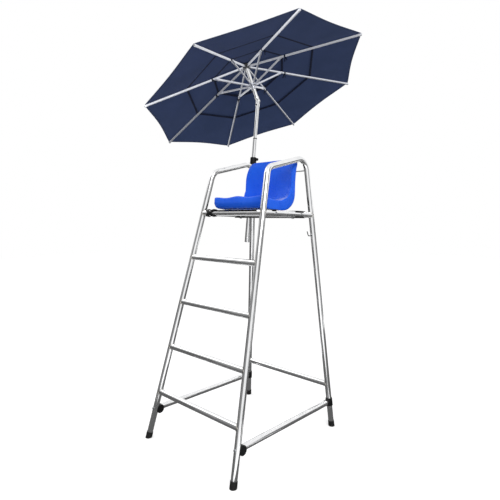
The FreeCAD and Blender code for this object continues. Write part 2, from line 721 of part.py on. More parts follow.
def seat_stations(share):
    """Pairs of points on the two faces of the shell, from the front lip to the crest of the back.

    share runs from 0 at the middle to 1 at a side. The points are (reach, height) from the front
    support, and each one is written for the middle and for the side, with a blend in between.
    """
    side_part = share ** 2.2
    lip = -size("seat_front_overhang") + 3 * share ** 8
    depth = size("seat_depth")
    top = size("seat_back_height") - 22 * share ** 12
    pan = size("seat_pan_height")
    rim = size("seat_rim_height")
    front = size("seat_lip_height") + size("seat_lip_wave") * math.cos(2 * math.pi * share) * (1 - share / 2)
    thin = size("seat_back_thickness")
    thick = size("seat_wing_thickness")
    bow = size("seat_back_bow") * (1 - share ** 2)
    back = -size("seat_front_overhang") + depth * 0.985 + bow

    def blend(middle, edge):
        return middle + (edge - middle) * side_part

    under = [
        (lip, 37), (lip + 19, 13), (lip + depth * 0.21, 5), (lip + depth * 0.41, 0),
        (lip + depth * 0.61, 0), (lip + depth * 0.76, blend(2, 8)),
        (back - 33, blend(26, 36)), (back - 8, blend(62, 71)), (back, top * 0.335), (back, top * 0.53),
        (back + 3, top * 0.685), (back + 9, top * 0.84), (back + 17, top * 0.944)]
    above = [
        (lip + 6, front), (lip + depth * 0.10, front - 3), (lip + depth * 0.24, blend(pan * 1.25, rim + 5)),
        (lip + depth * 0.42, blend(pan, rim - 2)), (lip + depth * 0.59, blend(pan - 2, rim + 1)),
        (lip + depth * 0.73, blend(pan + 6, rim + 19)),
        (back - blend(thin + 24, thick + 18), blend(pan + 32, rim + 42)),
        (back - blend(thin + 9, thick + 7), blend(pan + 68, rim + 70)),
        (back - blend(thin, thick + 1), top * 0.46), (back - blend(thin - 2, thick - 2), top * 0.59),
        (back + 3 - blend(thin - 3, thick - 2), top * 0.73),
        (back + 9 - blend(thin - 5, thick - 12), top * 0.86),
        (back + 17 - blend(thin - 10, thick - 23), top * 0.953)]
    return under, above, (lip - 4, 60), (back + 15 - blend(4, 6), top)


def seat_section(share, fullness):
    """A closed outline at one place across the seat; at the sides it's drawn in to round them."""
    under, above, nose, crest = seat_stations(share)
    low = []
    high = []
    for (y0, z0), (y1, z1) in zip(under, above):
        middle_y = (y0 + y1) / 2
        middle_z = (z0 + z1) / 2
        low.append((middle_y + (y0 - middle_y) * fullness, middle_z + (z0 - middle_z) * fullness))
        high.append((middle_y + (y1 - middle_y) * fullness, middle_z + (z1 - middle_z) * fullness))
    inset = 14 * (1 - fullness)
    return ([(nose[0] + inset, nose[1])] + low + [(crest[0], crest[1] - inset)] + high[::-1])


def seat_shell():
    half = size("seat_half_width")
    steps = [(0, 1), (0.16, 1), (0.32, 1), (0.48, 1), (0.62, 1), (0.74, 1), (0.84, 0.995), (0.91, 0.96),
             (0.96, 0.87), (0.985, 0.74), (1, 0.5)]
    wires = []
    for share, fullness in [(-a, b) for a, b in steps[:0:-1]] + steps:
        curve = Part.BSplineCurve()
        points = [vector(share * half, y, z) for y, z in seat_section(abs(share), fullness)]
        curve.interpolate(points, PeriodicFlag=True)
        wires.append(Part.Wire([curve.toShape()]))
    blank = document.addObject("Part::Feature", "seat_blank")
    blank.Shape = Part.makeLoft(wires, True, False)
    blank.Placement = on_rails(size("support_front_place"), tube_radius + size("support_thickness"))
    tools = [block("seat_underside", on_rails(size("strap_place"), 0), half * 3, size("seat_depth") * 3,
                   tube_radius + size("support_thickness"))]
    for side in (LEFT, RIGHT):
        for reach in support_bolt_places:
            place = on_rails(reach, tube_radius)
            base = within(place, side * seat_bolt_x, 0, 0)
            tools.append(rod("seat_socket", aimed(base, rail_normal, rail_direction),
                             size("support_thickness") + size("seat_bolt_grip") + 1, bolt_hole_radius))
    return cut("seat_shell", blank, tools)


node("seat_shell", seat_shell())

# Bag hook on the rear right leg, and the crossed tie on the front bar

hook_bend = 12.0


def bag_hook():
    start = rear_leg(RIGHT, size("seat_bar_height") - size("seat_rail_drop") - size("hook_drop"))
    place = aimed(start, vector(0, -1, 0), vector(0, 0, 1))
    points = [(0, 0), (0, size("hook_reach") - size("hook_rise") / 2), (size("hook_rise"), size("hook_reach"))]
    wire = bent_tube("bag_hook_wire", place, points, hook_bend, "hook_wire")
    return cut("bag_hook", wire, [rear_leg_cutter[RIGHT]])


node("bag_hook", bag_hook())


def front_bar_tie():
    bar = front_leg(RIGHT, size("seat_bar_height"))
    centre = vector(size("tie_place"), bar.y, bar.z)
    half = tube_radius * math.tan(math.radians(size("tie_angle"))) + size("tie_band_width") * 1.5
    start = centre - vector(half, 0, 0)
    end = centre + vector(half, 0, 0)
    outside = rod_between("tie_outside", start, end, "sizes.tube_diameter / 2 + sizes.tie_band_thickness + 0.3")
    inside = rod_between("tie_inside", start, end, "sizes.tube_diameter / 2 + 0.3")
    span = half * 4
    bands = []
    for way in (-1, 1):
        turn = FreeCAD.Rotation(vector(0, 1, 0), way * size("tie_angle"))
        low = centre - turn.multVec(vector(0, 0, span / 2))
        place = FreeCAD.Placement(low, turn)
        bands.append(block("tie_band", place, "sizes.tie_band_width", span, span))
    return overlap("front_bar_tie", cut("tie_hoop", outside, [inside]), joined("tie_bands", bands))


node("front_bar_tie", front_bar_tie())

# Umbrella holder: tube, brackets, stop pin, collar and clamp knob

pole_direction = unit(vector(lean, slope("holder_rake"), 1))


def pole_point(height):
    """A point on the umbrella pole's axis at a height above the floor."""
    reach = size("holder_top_reach") + slope("holder_rake") * (height - size("holder_top"))
    return vector(side_x(LEFT, height) - size("holder_offset"), reach, height)


holder_length = (pole_point(size("holder_top")) - pole_point(size("holder_bottom"))).Length
holder_place = aimed(pole_point(size("holder_bottom")), pole_direction, vector(0, 1, 0))
holder_axis_solid = rod("holder_axis", holder_place, holder_length, "sizes.holder_diameter / 2")
stop_centre = within(holder_place, 0, 0, size("stop_pin_height"))
stop_axis = heading(holder_place, 1, 0, 0)
stop_half = size("holder_diameter") / 2 + 3
stop_hole = rod_between(
    "stop_pin_hole", stop_centre - stop_axis * stop_half * 2, stop_centre + stop_axis * stop_half * 2,
    "sizes.stop_pin_diameter / 2 + sizes.hole_clearance / 2")
node("umbrella_holder", straight_tube(
    "umbrella_holder", pole_point(size("holder_bottom")), pole_point(size("holder_top")),
    "holder_diameter", "tube_wall", [stop_hole]))
node("holder_stop_pin", rod_between(
    "holder_stop_pin", stop_centre - stop_axis * stop_half, stop_centre + stop_axis * stop_half,
    "sizes.stop_pin_diameter / 2"))


def holder_bracket(height):
    leg = rear_leg(LEFT, height)
    tube = pole_point(height)
    reach = tube - leg
    place = aimed(leg, reach, pole_direction)
    plate = block("holder_bracket_plate", place, "sizes.bracket_thickness", "sizes.bracket_height",
                  reach.Length)
    return cut("holder_bracket", plate, [rear_leg_cutter[LEFT], holder_axis_solid])


node("holder_brackets", grouped("holder_brackets", [
    holder_bracket(size("bracket_low_height")), holder_bracket(size("bracket_high_height"))]))

collar_place = aimed(pole_point(size("holder_top")), pole_direction, vector(0, 1, 0))
pole_bore = size("lower_pole_diameter") / 2 + size("sliding_gap")
collar_top = size("collar_height") - size("collar_overlap")
knob_height = collar_top * 0.45
knob_place = aimed(within(collar_place, 0, 0, knob_height), heading(collar_place, 1, 0, 0),
                   heading(collar_place, 0, 0, 1))
boss_length = 7.0


def holder_collar():
    over_tube = size("holder_diameter") / 2 + 0.1
    edge = 4
    radius = size("collar_radius")
    low = -size("collar_overlap")
    ring_body = turned("collar_ring", collar_place, [
        (over_tube, low), (radius - edge / 2, low), (radius, low + edge), (radius, collar_top - edge),
        (radius - edge, collar_top), (pole_bore, collar_top), (pole_bore, 0.5), (over_tube, 0.5)])
    boss = rod("collar_boss", knob_place, "sizes.collar_radius + %g" % boss_length, "sizes.knob_screw_diameter")
    hollow = rod("collar_hollow", aimed(within(collar_place, 0, 0, low), pole_direction, vector(0, 1, 0)),
                 "sizes.collar_height * 2", pole_bore)
    screw_hole = rod("collar_screw_hole", knob_place, size("collar_radius") * 3,
                     "sizes.knob_screw_diameter / 2 + 0.05")
    return cut("holder_collar", joined("collar_blank", [ring_body, boss]), [hollow, screw_hole])


node("holder_collar", holder_collar())


def clamp_knob():
    """A screw with a round head that has a row of finger grooves."""
    head_base = size("collar_radius") + boss_length + 1
    body = document.addObject("PartDesign::Body", "clamp_knob_body")
    head = sketch_on(body, "XY_Plane", "knob_head_outline")
    draw_circle(head, size("knob_diameter") / 2, "sizes.knob_diameter")
    head_pad = body.newObject("PartDesign::Pad", "knob_head")
    head_pad.Profile = head
    head_pad.setExpression("Length", "sizes.knob_thickness")
    document.recompute()
    groove = sketch_on(body, "XY_Plane", "knob_groove_outline")
    groove_radius = size("knob_diameter") * 0.11
    groove.addGeometry(Part.Circle(vector(size("knob_diameter") / 2, 0, 0), vector(0, 0, 1), groove_radius), False)
    pocket = body.newObject("PartDesign::Pocket", "knob_groove")
    pocket.Profile = groove
    pocket.Type = "ThroughAll"
    pocket.Reversed = True
    document.recompute()
    pattern = body.newObject("PartDesign::PolarPattern", "knob_grooves")
    pattern.Originals = [pocket]
    pattern.Axis = (head, ["N_Axis"])
    pattern.Angle = 360
    pattern.Occurrences = 8
    body.Tip = pattern
    body.Placement = aimed(within(knob_place, 0, 0, head_base), heading(knob_place, 0, 0, 1),
                           heading(knob_place, 0, 1, 0))
    tip = size("lower_pole_diameter") / 2 + 0.5
    screw = rod("knob_screw", aimed(within(knob_place, 0, 0, tip), heading(knob_place, 0, 0, 1),
                                    heading(knob_place, 0, 1, 0)),
                head_base - tip + 2, "sizes.knob_screw_diameter / 2")
    return joined("clamp_knob", [body, screw])


node("clamp_knob", clamp_knob())

# Poles

stop_top = size("holder_bottom") + (size("stop_pin_height") + size("stop_pin_diameter") / 2
                                    + size("sliding_gap")) * pole_direction.z
node("lower_pole", straight_tube(
    "lower_pole", pole_point(stop_top), pole_point(size("lower_pole_top")), "lower_pole_diameter",
    "pole_wall"))

bush_place = aimed(pole_point(size("lower_pole_top")), pole_direction, vector(0, 1, 0))
slim_radius = size("slim_pole_diameter") / 2
node("pole_bush", turned("pole_bush", bush_place, [
    (slim_radius + size("sliding_gap"), -size("pole_overlap") * 0.8),
    (size("lower_pole_diameter") / 2 - size("pole_wall"), -size("pole_overlap") * 0.8),
    (size("lower_pole_diameter") / 2 - size("pole_wall"), 0),
    (size("lower_pole_diameter") / 2, 0),
    (size("lower_pole_diameter") / 2 - 1.5, 7),
    (slim_radius + size("sliding_gap"), 7)]))

tilt_centre = pole_point(size("tilt_height"))
level_axis = unit(pole_direction.cross(vector(-1, 0, 0)))
tilt_axis = FreeCAD.Rotation(pole_direction, size("umbrella_heading")).multVec(level_axis)
fork_place = aimed(tilt_centre, pole_direction, tilt_axis)
canopy_direction = FreeCAD.Rotation(tilt_axis, size("umbrella_tilt")).multVec(pole_direction)
canopy_place = aimed(tilt_centre, canopy_direction, tilt_axis)
head_base = size("head_shoulder") + size("head_length")
upper_pole_start = pole_point(size("lower_pole_top")) - pole_direction * size("pole_overlap")
node("upper_pole", straight_tube(
    "upper_pole", upper_pole_start, within(fork_place, 0, 0, -head_base), "slim_pole_diameter",
    "pole_wall"))
node("canopy_pole", straight_tube(
    "canopy_pole", within(canopy_place, 0, 0, head_base),
    within(canopy_place, 0, 0, size("hub_height") - size("hub_thickness") / 2), "slim_pole_diameter",
    "pole_wall"))

# Tilt head: fork, knuckle, pin, button and spring

slim_bore = slim_radius - size("pole_wall")
head_radius = size("head_radius")
button_radius = size("button_diameter") / 2
button_bore_end = -6.0
button_inner = 8.0


def head_blank(name, place, way):
    """The round end of a tilt head half with its spigot, below (-1) or above (1) the pin."""
    shoulder = way * size("head_shoulder")
    base = way * head_base
    spigot_end = base + way * size("head_spigot")
    return turned(name, place, [
        (0, shoulder), (head_radius, shoulder), (head_radius, base), (slim_bore - 0.05, base),
        (slim_bore - 0.05, spigot_end), (0, spigot_end)])


def cheek_disc(name, place, start, thickness, radius):
    """A disc round the tilt pin's axis."""
    return rod(name, aimed(within(place, 0, start, 0), heading(place, 0, 1, 0), heading(place, 0, 0, 1)),
               thickness, radius)


def tilt_fork():
    """Two cheeks with round tops on a solid base, whose spigot goes into the upper pole."""
    width = head_radius * 4
    low = within(fork_place, 0, 0, -head_base)
    low_place = aimed(low, pole_direction, tilt_axis)
    stem = rod("fork_stem", low_place, head_base + size("head_shoulder"), head_radius)
    slot_place = aimed(within(fork_place, 0, 0, -size("head_shoulder")), pole_direction, tilt_axis)
    slot = block("fork_slot", slot_place, width, "sizes.head_gap", size("head_shoulder") * 3)
    round_top = joined("fork_round_top", [
        cheek_disc("fork_top_disc", fork_place, -head_radius * 2, 4 * head_radius, size("head_shoulder") - 1.5),
        block("fork_lower_part", aimed(within(fork_place, 0, 0, -head_base - 1), pole_direction, tilt_axis),
              2 * (size("head_shoulder") - 1.5), width, head_base + 1),
        rod("fork_round_base", aimed(within(fork_place, 0, 0, -head_base - 1), pole_direction, tilt_axis),
            head_base - size("head_shoulder") + 1, head_radius * 2)])
    cheeks = overlap("fork_cheeks", cut("fork_slotted", stem, [slot]), round_top)
    spigot_low = within(fork_place, 0, 0, -head_base - size("head_spigot"))
    spigot = rod("fork_spigot", aimed(spigot_low, pole_direction, tilt_axis), size("head_spigot") + 5,
                 slim_bore - 0.05)
    pin_hole = cheek_disc("fork_pin_hole", fork_place, -head_radius * 2, head_radius * 4,
                          "sizes.tilt_pin_diameter / 2")
    bore_place = aimed(within(fork_place, 0, button_bore_end, -size("button_drop")), tilt_axis,
                       pole_direction)
    button_bore = rod("fork_button_bore", bore_place, head_radius * 2, button_radius + 0.2)
    return cut("tilt_fork", joined("fork_blank", [cheeks, spigot]), [pin_hole, button_bore])


def tilt_knuckle():
    blank = head_blank("knuckle_base", canopy_place, 1)
    tongue_half = size("head_gap") / 2 - size("sliding_gap")
    disc = cheek_disc("knuckle_disc", canopy_place, -tongue_half, 2 * tongue_half,
                      size("head_shoulder") - 1.5)
    web = block("knuckle_web", canopy_place, 2 * (size("head_shoulder") - 1.5), 2 * tongue_half,
                size("head_shoulder") + 1)
    rounded = rod("knuckle_round", canopy_place, size("head_shoulder") + 1, head_radius)
    pin_hole = cheek_disc("knuckle_pin_hole", canopy_place, -head_radius * 2, head_radius * 4,
                          "sizes.tilt_pin_diameter / 2 + 0.05")
    return cut("tilt_knuckle", joined("knuckle_blank", [
        blank, disc, overlap("knuckle_web_round", web, rounded)]), [pin_hole])


node("tilt_fork", tilt_fork())
node("tilt_knuckle", tilt_knuckle())
pin_half = head_radius + 1.5
node("tilt_pin", cheek_disc("tilt_pin", fork_place, -pin_half, 2 * pin_half, "sizes.tilt_pin_diameter / 2"))
button_place = aimed(within(fork_place, 0, 0, -size("button_drop")), tilt_axis, pole_direction)
button_rise = head_radius + size("button_stroke") + 0.8
node("tilt_button", turned("tilt_button", button_place, [
    (0, button_inner), (button_radius, button_inner), (button_radius, button_rise - 1),
    (button_radius - 1, button_rise), (0, button_rise)]))


def button_spring():
    wire = 0.8
    turns = 5
    radius = button_radius - wire - 0.4
    start = button_bore_end + wire / 2 + 0.1
    length = button_inner - wire - 0.1 - start - 0.1
    helix = Part.makeHelix(length / turns, length, radius)
    section = Part.Wire([Part.Circle(vector(radius, 0, 0), vector(0, 1, 0), wire / 2).toShape()])
    item = document.addObject("Part::Feature", "button_spring")
    item.Shape = Part.Wire(helix.Edges).makePipeShell([section], True, True)
    item.Placement = aimed(within(button_place, 0, 0, start), tilt_axis, pole_direction)
    return item


node("button_spring", button_spring())

# Hub and runner, each with slots for the flat ends and a wire ring

rib_count = int(size("rib_count"))
rib_slope = size("rib_drop") / size("rib_reach")
rib_angle = math.atan(rib_slope)
ring_wire_radius = size("ring_wire") / 2
hub_pivot_height = size("hub_height") - rib_slope * size("hub_wire_radius")
slot_width = size("blade_thickness") + 2 * size("blade_gap")


def rib_azimuth(number):
    return size("rib_turn") + number * 360.0 / rib_count


def around(number):
    """A placement at the tilt pin, with Z along the canopy pole and X towards a rib."""
    turn = FreeCAD.Placement(vector(0, 0, 0), FreeCAD.Rotation(vector(0, 0, 1), rib_azimuth(number)))
    return canopy_place.multiply(turn)


def radial_slots(name, start_radius, end_radius, low, high):
    slots = []
    for number in range(rib_count):
        place = around(number)
        centre = within(place, (start_radius + end_radius) / 2, 0, low)
        slots.append(block(name, FreeCAD.Placement(centre, place.Rotation), end_radius - start_radius,
                           slot_width, high - low))
    return slots


def top_hub():
    low = size("hub_height") - size("hub_thickness") / 2
    high = size("hub_height") + size("hub_thickness") / 2 - 4
    blank = turned("hub_blank", canopy_place, [
        (0, low - size("head_spigot")), (slim_bore - 0.05, low - size("head_spigot")), (slim_bore - 0.05, low),
        (size("hub_radius") - 1, low), (size("hub_radius"), low + 1), (size("hub_radius"), high - 3),
        (size("hub_radius") - 3, high), (0, high)])
    slots = radial_slots("hub_slot", size("hub_wire_radius") - 6.5, size("hub_radius") + 2, low - 1, high - 3)
    wire_place = FreeCAD.Placement(within(canopy_place, 0, 0, hub_pivot_height), canopy_place.Rotation)
    groove = ring("hub_groove", wire_place, "sizes.hub_wire_radius", "sizes.ring_wire / 2")
    casting = cut("hub_casting", blank, slots + [groove])
    wire = ring("hub_wire", wire_place, "sizes.hub_wire_radius", "sizes.ring_wire / 2")
    return grouped("top_hub", [casting, wire]), high


def runner():
    middle = size("runner_height")
    low = middle - size("runner_thickness") / 2
    high = middle + size("runner_thickness") / 2
    bore = slim_radius + size("sliding_gap")
    sleeve = bore + 4.5
    foot = low - size("runner_sleeve")
    blank = turned("runner_blank", canopy_place, [
        (bore, foot), (sleeve + 1.5, foot), (sleeve + 1.5, foot + 5), (sleeve, foot + 7), (sleeve, low - 3),
        (size("runner_radius") - 3, low), (size("runner_radius"), low + 2), (size("runner_radius"), high - 1),
        (size("runner_radius") - 1, high), (bore, high)])
    slots = radial_slots("runner_slot", size("runner_wire_radius") - 4.9, size("runner_radius") + 2,
                         low - 0.5, high + 1)
    wire_place = FreeCAD.Placement(within(canopy_place, 0, 0, middle), canopy_place.Rotation)
    groove = ring("runner_groove", wire_place, "sizes.runner_wire_radius", "sizes.ring_wire / 2")
    casting = cut("runner_casting", blank, slots + [groove])
    wire = ring("runner_wire", wire_place, "sizes.runner_wire_radius", "sizes.ring_wire / 2")
    return grouped("runner", [casting, wire])


hub_group, hub_top = top_hub()
node("top_hub", hub_group)
node("runner", runner())

# Ribs and struts

rib_place_radius = size("hub_wire_radius")
rib_length = (size("rib_reach") - rib_place_radius) / math.cos(rib_angle)
strut_radius_at_rib = size("strut_share") * size("rib_reach")
rivet_along = (strut_radius_at_rib - rib_place_radius) / math.cos(rib_angle)
rivet_height = size("hub_height") - rib_slope * strut_radius_at_rib
strut_run = strut_radius_at_rib - size("runner_wire_radius")
strut_lift = rivet_height - size("runner_height")
strut_length = math.hypot(strut_run, strut_lift)
strut_angle = math.atan2(strut_lift, strut_run)


def rib_place(number):
    place = around(number)
    along = heading(place, math.cos(rib_angle), 0, -math.sin(rib_angle))
    return aimed(within(place, rib_place_radius, 0, hub_pivot_height), along, heading(place, 0, 1, 0))


def strut_place(number):
    place = around(number)
    along = heading(place, math.cos(strut_angle), 0, math.sin(strut_angle))
    return aimed(within(place, size("runner_wire_radius"), 0, size("runner_height")), along,
                 heading(place, 0, 1, 0))


def shifted(place, z, y=0.0):
    return FreeCAD.Placement(within(place, 0, y, z), place.Rotation)


def pin_place(place, z, y):
    """A placement on the local Y axis, so that a rod made there lies across the rib."""
    return aimed(within(place, 0, y, z), heading(place, 0, 1, 0), heading(place, 0, 0, 1))


def flat_end(name, place, depth, inner_end, reach):
    """A flat tongue with a hole for the wire ring at the placement's origin."""
    tongue = block(name + "_tongue", shifted(place, -inner_end), depth, "sizes.blade_thickness",
                   reach + inner_end)
    corner = rod(name + "_corner", pin_place(place, 0, -size("blade_thickness")),
                 size("blade_thickness") * 2, math.hypot(inner_end, depth / 2) - 1.2)
    beyond = block(name + "_beyond", place, depth * 2, size("blade_thickness") * 2, reach + 1)
    return overlap(name, tongue, joined(name + "_round", [corner, beyond])), rod(
        name + "_hole", pin_place(place, 0, -size("blade_thickness") * 2), size("blade_thickness") * 4,
        ring_wire_radius + 0.35)


def rib(number):
    name = "rib_%d" % (number + 1)
    place = rib_place(number)
    tongue, hole = flat_end(name + "_end", place, size("rib_depth") - 2 * size("rib_wall"), 4.5,
                             size("blade_reach") + size("blade_overlap"))
    bar_start = size("blade_reach")
    outside = block(name + "_outside", shifted(place, bar_start), "sizes.rib_depth", "sizes.rib_width",
                    rib_length - bar_start)
    bore = block(name + "_bore", shifted(place, bar_start - 1), "sizes.rib_depth - 2 * sizes.rib_wall",
                 "sizes.rib_width - 2 * sizes.rib_wall", rib_length)
    rivet_hole = rod(name + "_rivet_hole", pin_place(place, rivet_along, -size("rib_width")),
                     size("rib_width") * 2, "sizes.rivet_diameter / 2")
    tube = cut(name + "_tube", outside, [bore])
    bar = cut(name + "_bar", joined(name + "_blank", [tube, tongue]), [hole, rivet_hole])
    fork_outer = size("rib_width") / 2 + size("blade_gap") + size("strut_fork_wall")
    shank_half = fork_outer + 0.8
    rivet = joined(name + "_rivet", [
        rod(name + "_rivet_shank", pin_place(place, rivet_along, -shank_half), 2 * shank_half,
            "sizes.rivet_diameter / 2"),
        rod(name + "_rivet_head", pin_place(place, rivet_along, shank_half), 1.5,
            "sizes.rivet_diameter / 2 + 2"),
        rod(name + "_rivet_foot", pin_place(place, rivet_along, -shank_half - 1.5), 1.5,
            "sizes.rivet_diameter / 2 + 2")])
    cap_start = rib_length - size("tip_cap_length") + 2
    cap = cut(name + "_cap", block(
        name + "_cap_outside", shifted(place, cap_start), "sizes.rib_depth + 2 * sizes.tip_cap_wall",
        "sizes.rib_width + 2 * sizes.tip_cap_wall", "sizes.tip_cap_length"),
        [block(name + "_cap_inside", shifted(place, cap_start - 1), "sizes.rib_depth", "sizes.rib_width",
               rib_length - cap_start + 1)])
    return grouped(name, [bar, rivet, cap])


def strut(number):
    name = "strut_%d" % (number + 1)
    place = strut_place(number)
    tongue, hole = flat_end(name + "_end", place, size("strut_depth") - 2, 3.6,
                             size("blade_reach") + size("blade_overlap"))
    bar_start = size("blade_reach") + 1
    fork_base = strut_length - size("strut_fork_length")
    bar = block(name + "_bar", shifted(place, bar_start), "sizes.strut_depth", "sizes.strut_width",
                fork_base - bar_start)
    fork_inner = size("rib_width") / 2 + size("blade_gap")
    fork_outer = fork_inner + size("strut_fork_wall")
    bridge_length = size("strut_fork_bridge")
    bridge = block(name + "_bridge", shifted(place, fork_base - bridge_length), "sizes.strut_depth",
                   2 * fork_outer, bridge_length)
    cheeks = []
    for way in (-1, 1):
        middle = way * (fork_inner + fork_outer) / 2
        cheeks.append(block(name + "_cheek", shifted(place, fork_base - bridge_length / 2, middle), "sizes.strut_depth",
                            "sizes.strut_fork_wall", strut_length - fork_base + bridge_length / 2))
        cheeks.append(rod(name + "_cheek_end", pin_place(place, strut_length, middle - size("strut_fork_wall") / 2),
                          "sizes.strut_fork_wall", "sizes.strut_depth / 2"))
    rivet_hole = rod(name + "_rivet_hole", pin_place(place, strut_length, -fork_outer * 2), fork_outer * 4,
                     "sizes.rivet_diameter / 2 + sizes.rivet_clearance")
    return cut(name, joined(name + "_blank", [tongue, bar, bridge] + cheeks), [hole, rivet_hole])


for number in range(rib_count):
    node("rib_%d" % (number + 1), rib(number))
    node("strut_%d" % (number + 1), strut(number))

# Canopy cloth: over each rib, half-way to the next rib on both sides, in three tiers

half_panel = math.pi / rib_count
cloth_base = ((size("rib_depth") / 2 + size("tip_cap_wall")) / math.cos(rib_angle)
              + rib_slope * math.tan(half_panel) * (size("rib_width") / 2 + size("tip_cap_wall"))
              + size("cloth_clearance"))


def cloth_half(inner, outer, scallop, way):
    """One flat half panel as a prism, in the axes of a placement from around()."""
    inner_radius, inner_lift = inner
    outer_radius, outer_lift = outer

    def on_rib(radius, lift):
        return vector(radius, 0, size("hub_height") - rib_slope * radius + lift)

    def half_way(radius, lift, pull):
        middle = radius * math.cos(half_panel) - pull
        edge = size("seam_gap")
        x = middle * math.cos(half_panel) + edge * math.sin(half_panel)
        y = middle * math.sin(half_panel) - edge * math.cos(half_panel)
        drop = rib_slope / math.cos(half_panel)
        return vector(x, way * y, size("hub_height") - drop * middle + lift)

    corners = [on_rib(inner_radius, inner_lift), on_rib(outer_radius, outer_lift),
               half_way(outer_radius, outer_lift, scallop), half_way(inner_radius, inner_lift, 0)]
    edges = [Part.LineSegment(corners[0], corners[1]).toShape()]
    if scallop:
        chord = corners[2] - corners[1]
        hem_middle = corners[1] + chord * 0.5
        inward = unit(corners[0] - corners[1])
        edges.append(Part.Arc(corners[1], hem_middle + inward * (scallop * 0.25), corners[2]).toShape())
    else:
        edges.append(Part.LineSegment(corners[1], corners[2]).toShape())
    edges.append(Part.LineSegment(corners[2], corners[3]).toShape())
    edges.append(Part.LineSegment(corners[3], corners[0]).toShape())
    face = Part.Face(Part.Wire(edges))
    return face.extrude(vector(0, 0, size("cloth_thickness")))


def cloth_tier(inner, outer, scallop=0.0):
    left = cloth_half(inner, outer, scallop, -1)
    right = cloth_half(inner, outer, scallop, 1)
    return left.fuse(right).removeSplitter().Solids[0]


def canopy_gore(number):
    reach = size("rib_reach")
    gap = size("vent_gap") + size("cloth_thickness")
    low = cloth_base
    cap_end = reach + 2
    tiers = [
        cloth_tier((reach * size("lower_tier_start"), low), (cap_end, low), size("cloth_scallop")),
        cloth_tier((reach * size("middle_tier_start"), low), (reach * size("middle_tier_end"), low + gap)),
        cloth_tier((12.0, low + 2 * gap), (reach * size("top_tier_end"), low + 1.6 * gap)),
    ]
    item = document.addObject("Part::Feature", "canopy_gore_%d" % (number + 1))
    item.Shape = Part.Compound(tiers)
    item.Placement = around(number)
    return item


for number in range(rib_count):
    node("canopy_gore_%d" % (number + 1), canopy_gore(number))

cloth_top = (size("hub_height") + cloth_base + 2 * (size("vent_gap") + size("cloth_thickness"))
             + size("cloth_thickness"))
finial_base = cloth_top + 1
node("finial", turned("finial", canopy_place, [
    (0, hub_top), (7, hub_top), (7, finial_base), (size("finial_radius"), finial_base),
    (size("finial_radius"), finial_base + 4), (size("finial_radius") * 0.75, finial_base + 9),
    (size("finial_radius") * 0.5, finial_base + size("finial_height") * 0.7),
    (size("finial_radius") * 0.4, finial_base + size("finial_height")), (0, finial_base + size("finial_height"))]))

# Checks, origin and files

document.recompute()
for item in document.Objects:
    if "Invalid" in item.State or "Error" in item.State:
        raise RuntimeError("failed object: " + item.Label)

whole = FreeCAD.BoundBox()
for item in nodes:
    if item.Shape.isNull() or not item.Shape.isValid():
        raise RuntimeError("bad shape: " + item.Label)
    whole.add(item.Shape.optimalBoundingBox(False))
centring = FreeCAD.Placement(vector(-whole.Center.x, -whole.Center.y, -whole.ZMin), FreeCAD.Rotation())
for item in nodes:
    item.Placement = centring.multiply(item.Placement)
document.recompute()


def told(name, point):
    print("PLACE %s %.5f %.5f %.5f" % (name, point.x / 1000, point.y / 1000, point.z / 1000))


def moved(point):
    return centring.multVec(point)


def fold_ratios():
    """Constant ratios of rib and strut angle to runner travel, and the largest miss at the rivet."""
    travel = size("runner_travel")
    arm = rivet_along
    pivot = (rib_place_radius, hub_pivot_height)
    foot = size("runner_wire_radius")

    def rib_end(angle):
        return (pivot[0] + arm * math.cos(rib_angle + angle), pivot[1] - arm * math.sin(rib_angle + angle))

    def rib_turn_at(drop):
        low, high = 0.0, 1.0
        for _ in range(60):
            middle = (low + high) / 2
            end = rib_end(middle)
            height = end[1] - (size("runner_height") - drop)
            if math.hypot(end[0] - foot, height) > strut_length:
                low = middle
            else:
                high = middle
        return low

    def strut_turn_at(drop):
        end = rib_end(rib_turn_at(drop))
        return math.atan2(end[1] - (size("runner_height") - drop), end[0] - foot) - strut_angle

    rib_ratio = rib_turn_at(travel * 0.75) / (travel * 0.75)
    strut_ratio = strut_turn_at(travel * 0.75) / (travel * 0.75)
    miss = 0.0
    for step in range(13):
        drop = travel * step / 12
        end = rib_end(rib_ratio * drop)
        angle = strut_angle + strut_ratio * drop
        tip = (foot + strut_length * math.cos(angle), size("runner_height") - drop + strut_length * math.sin(angle))
        miss = max(miss, math.hypot(end[0] - tip[0], end[1] - tip[1]))
    return rib_ratio * 1000, strut_ratio * 1000, miss


told("chair_middle", moved(vector(0, 0, 0)))
told("tilt_centre", moved(tilt_centre))
told("pole_base", moved(pole_point(size("holder_bottom"))))
told("knob", moved(within(knob_place, 0, 0, 0)))
told("button", moved(within(button_place, 0, 0, 0)))
told("hub", moved(within(canopy_place, 0, 0, size("hub_height"))))
for label, direction in (("pole_direction", pole_direction), ("canopy_direction", canopy_direction),
                         ("tilt_axis", tilt_axis), ("knob_direction", heading(knob_place, 0, 0, 1))):
    print("AXIS %s %.6f %.6f %.6f" % (label, direction.x, direction.y, direction.z))
for number in range(rib_count):
    told("rib_%d" % (number + 1), moved(within(rib_place(number), 0, 0, 0)))
    told("strut_%d" % (number + 1), moved(within(strut_place(number), 0, 0, 0)))
    across = heading(around(number), 0, 1, 0)
    print("AXIS rib_%d %.6f %.6f %.6f" % (number + 1, across.x, across.y, across.z))
print("FOLD rib %.5f rad/m, strut %.5f rad/m, largest miss %.3f mm" % fold_ratios())

os.makedirs("parts", exist_ok=True)
for item in nodes:
    item.Shape.exportStep("parts/%s.step" % item.Label)
print("%d nodes, whole %.1f x %.1f x %.1f mm" % (len(nodes), whole.XLength, whole.YLength, whole.ZLength))
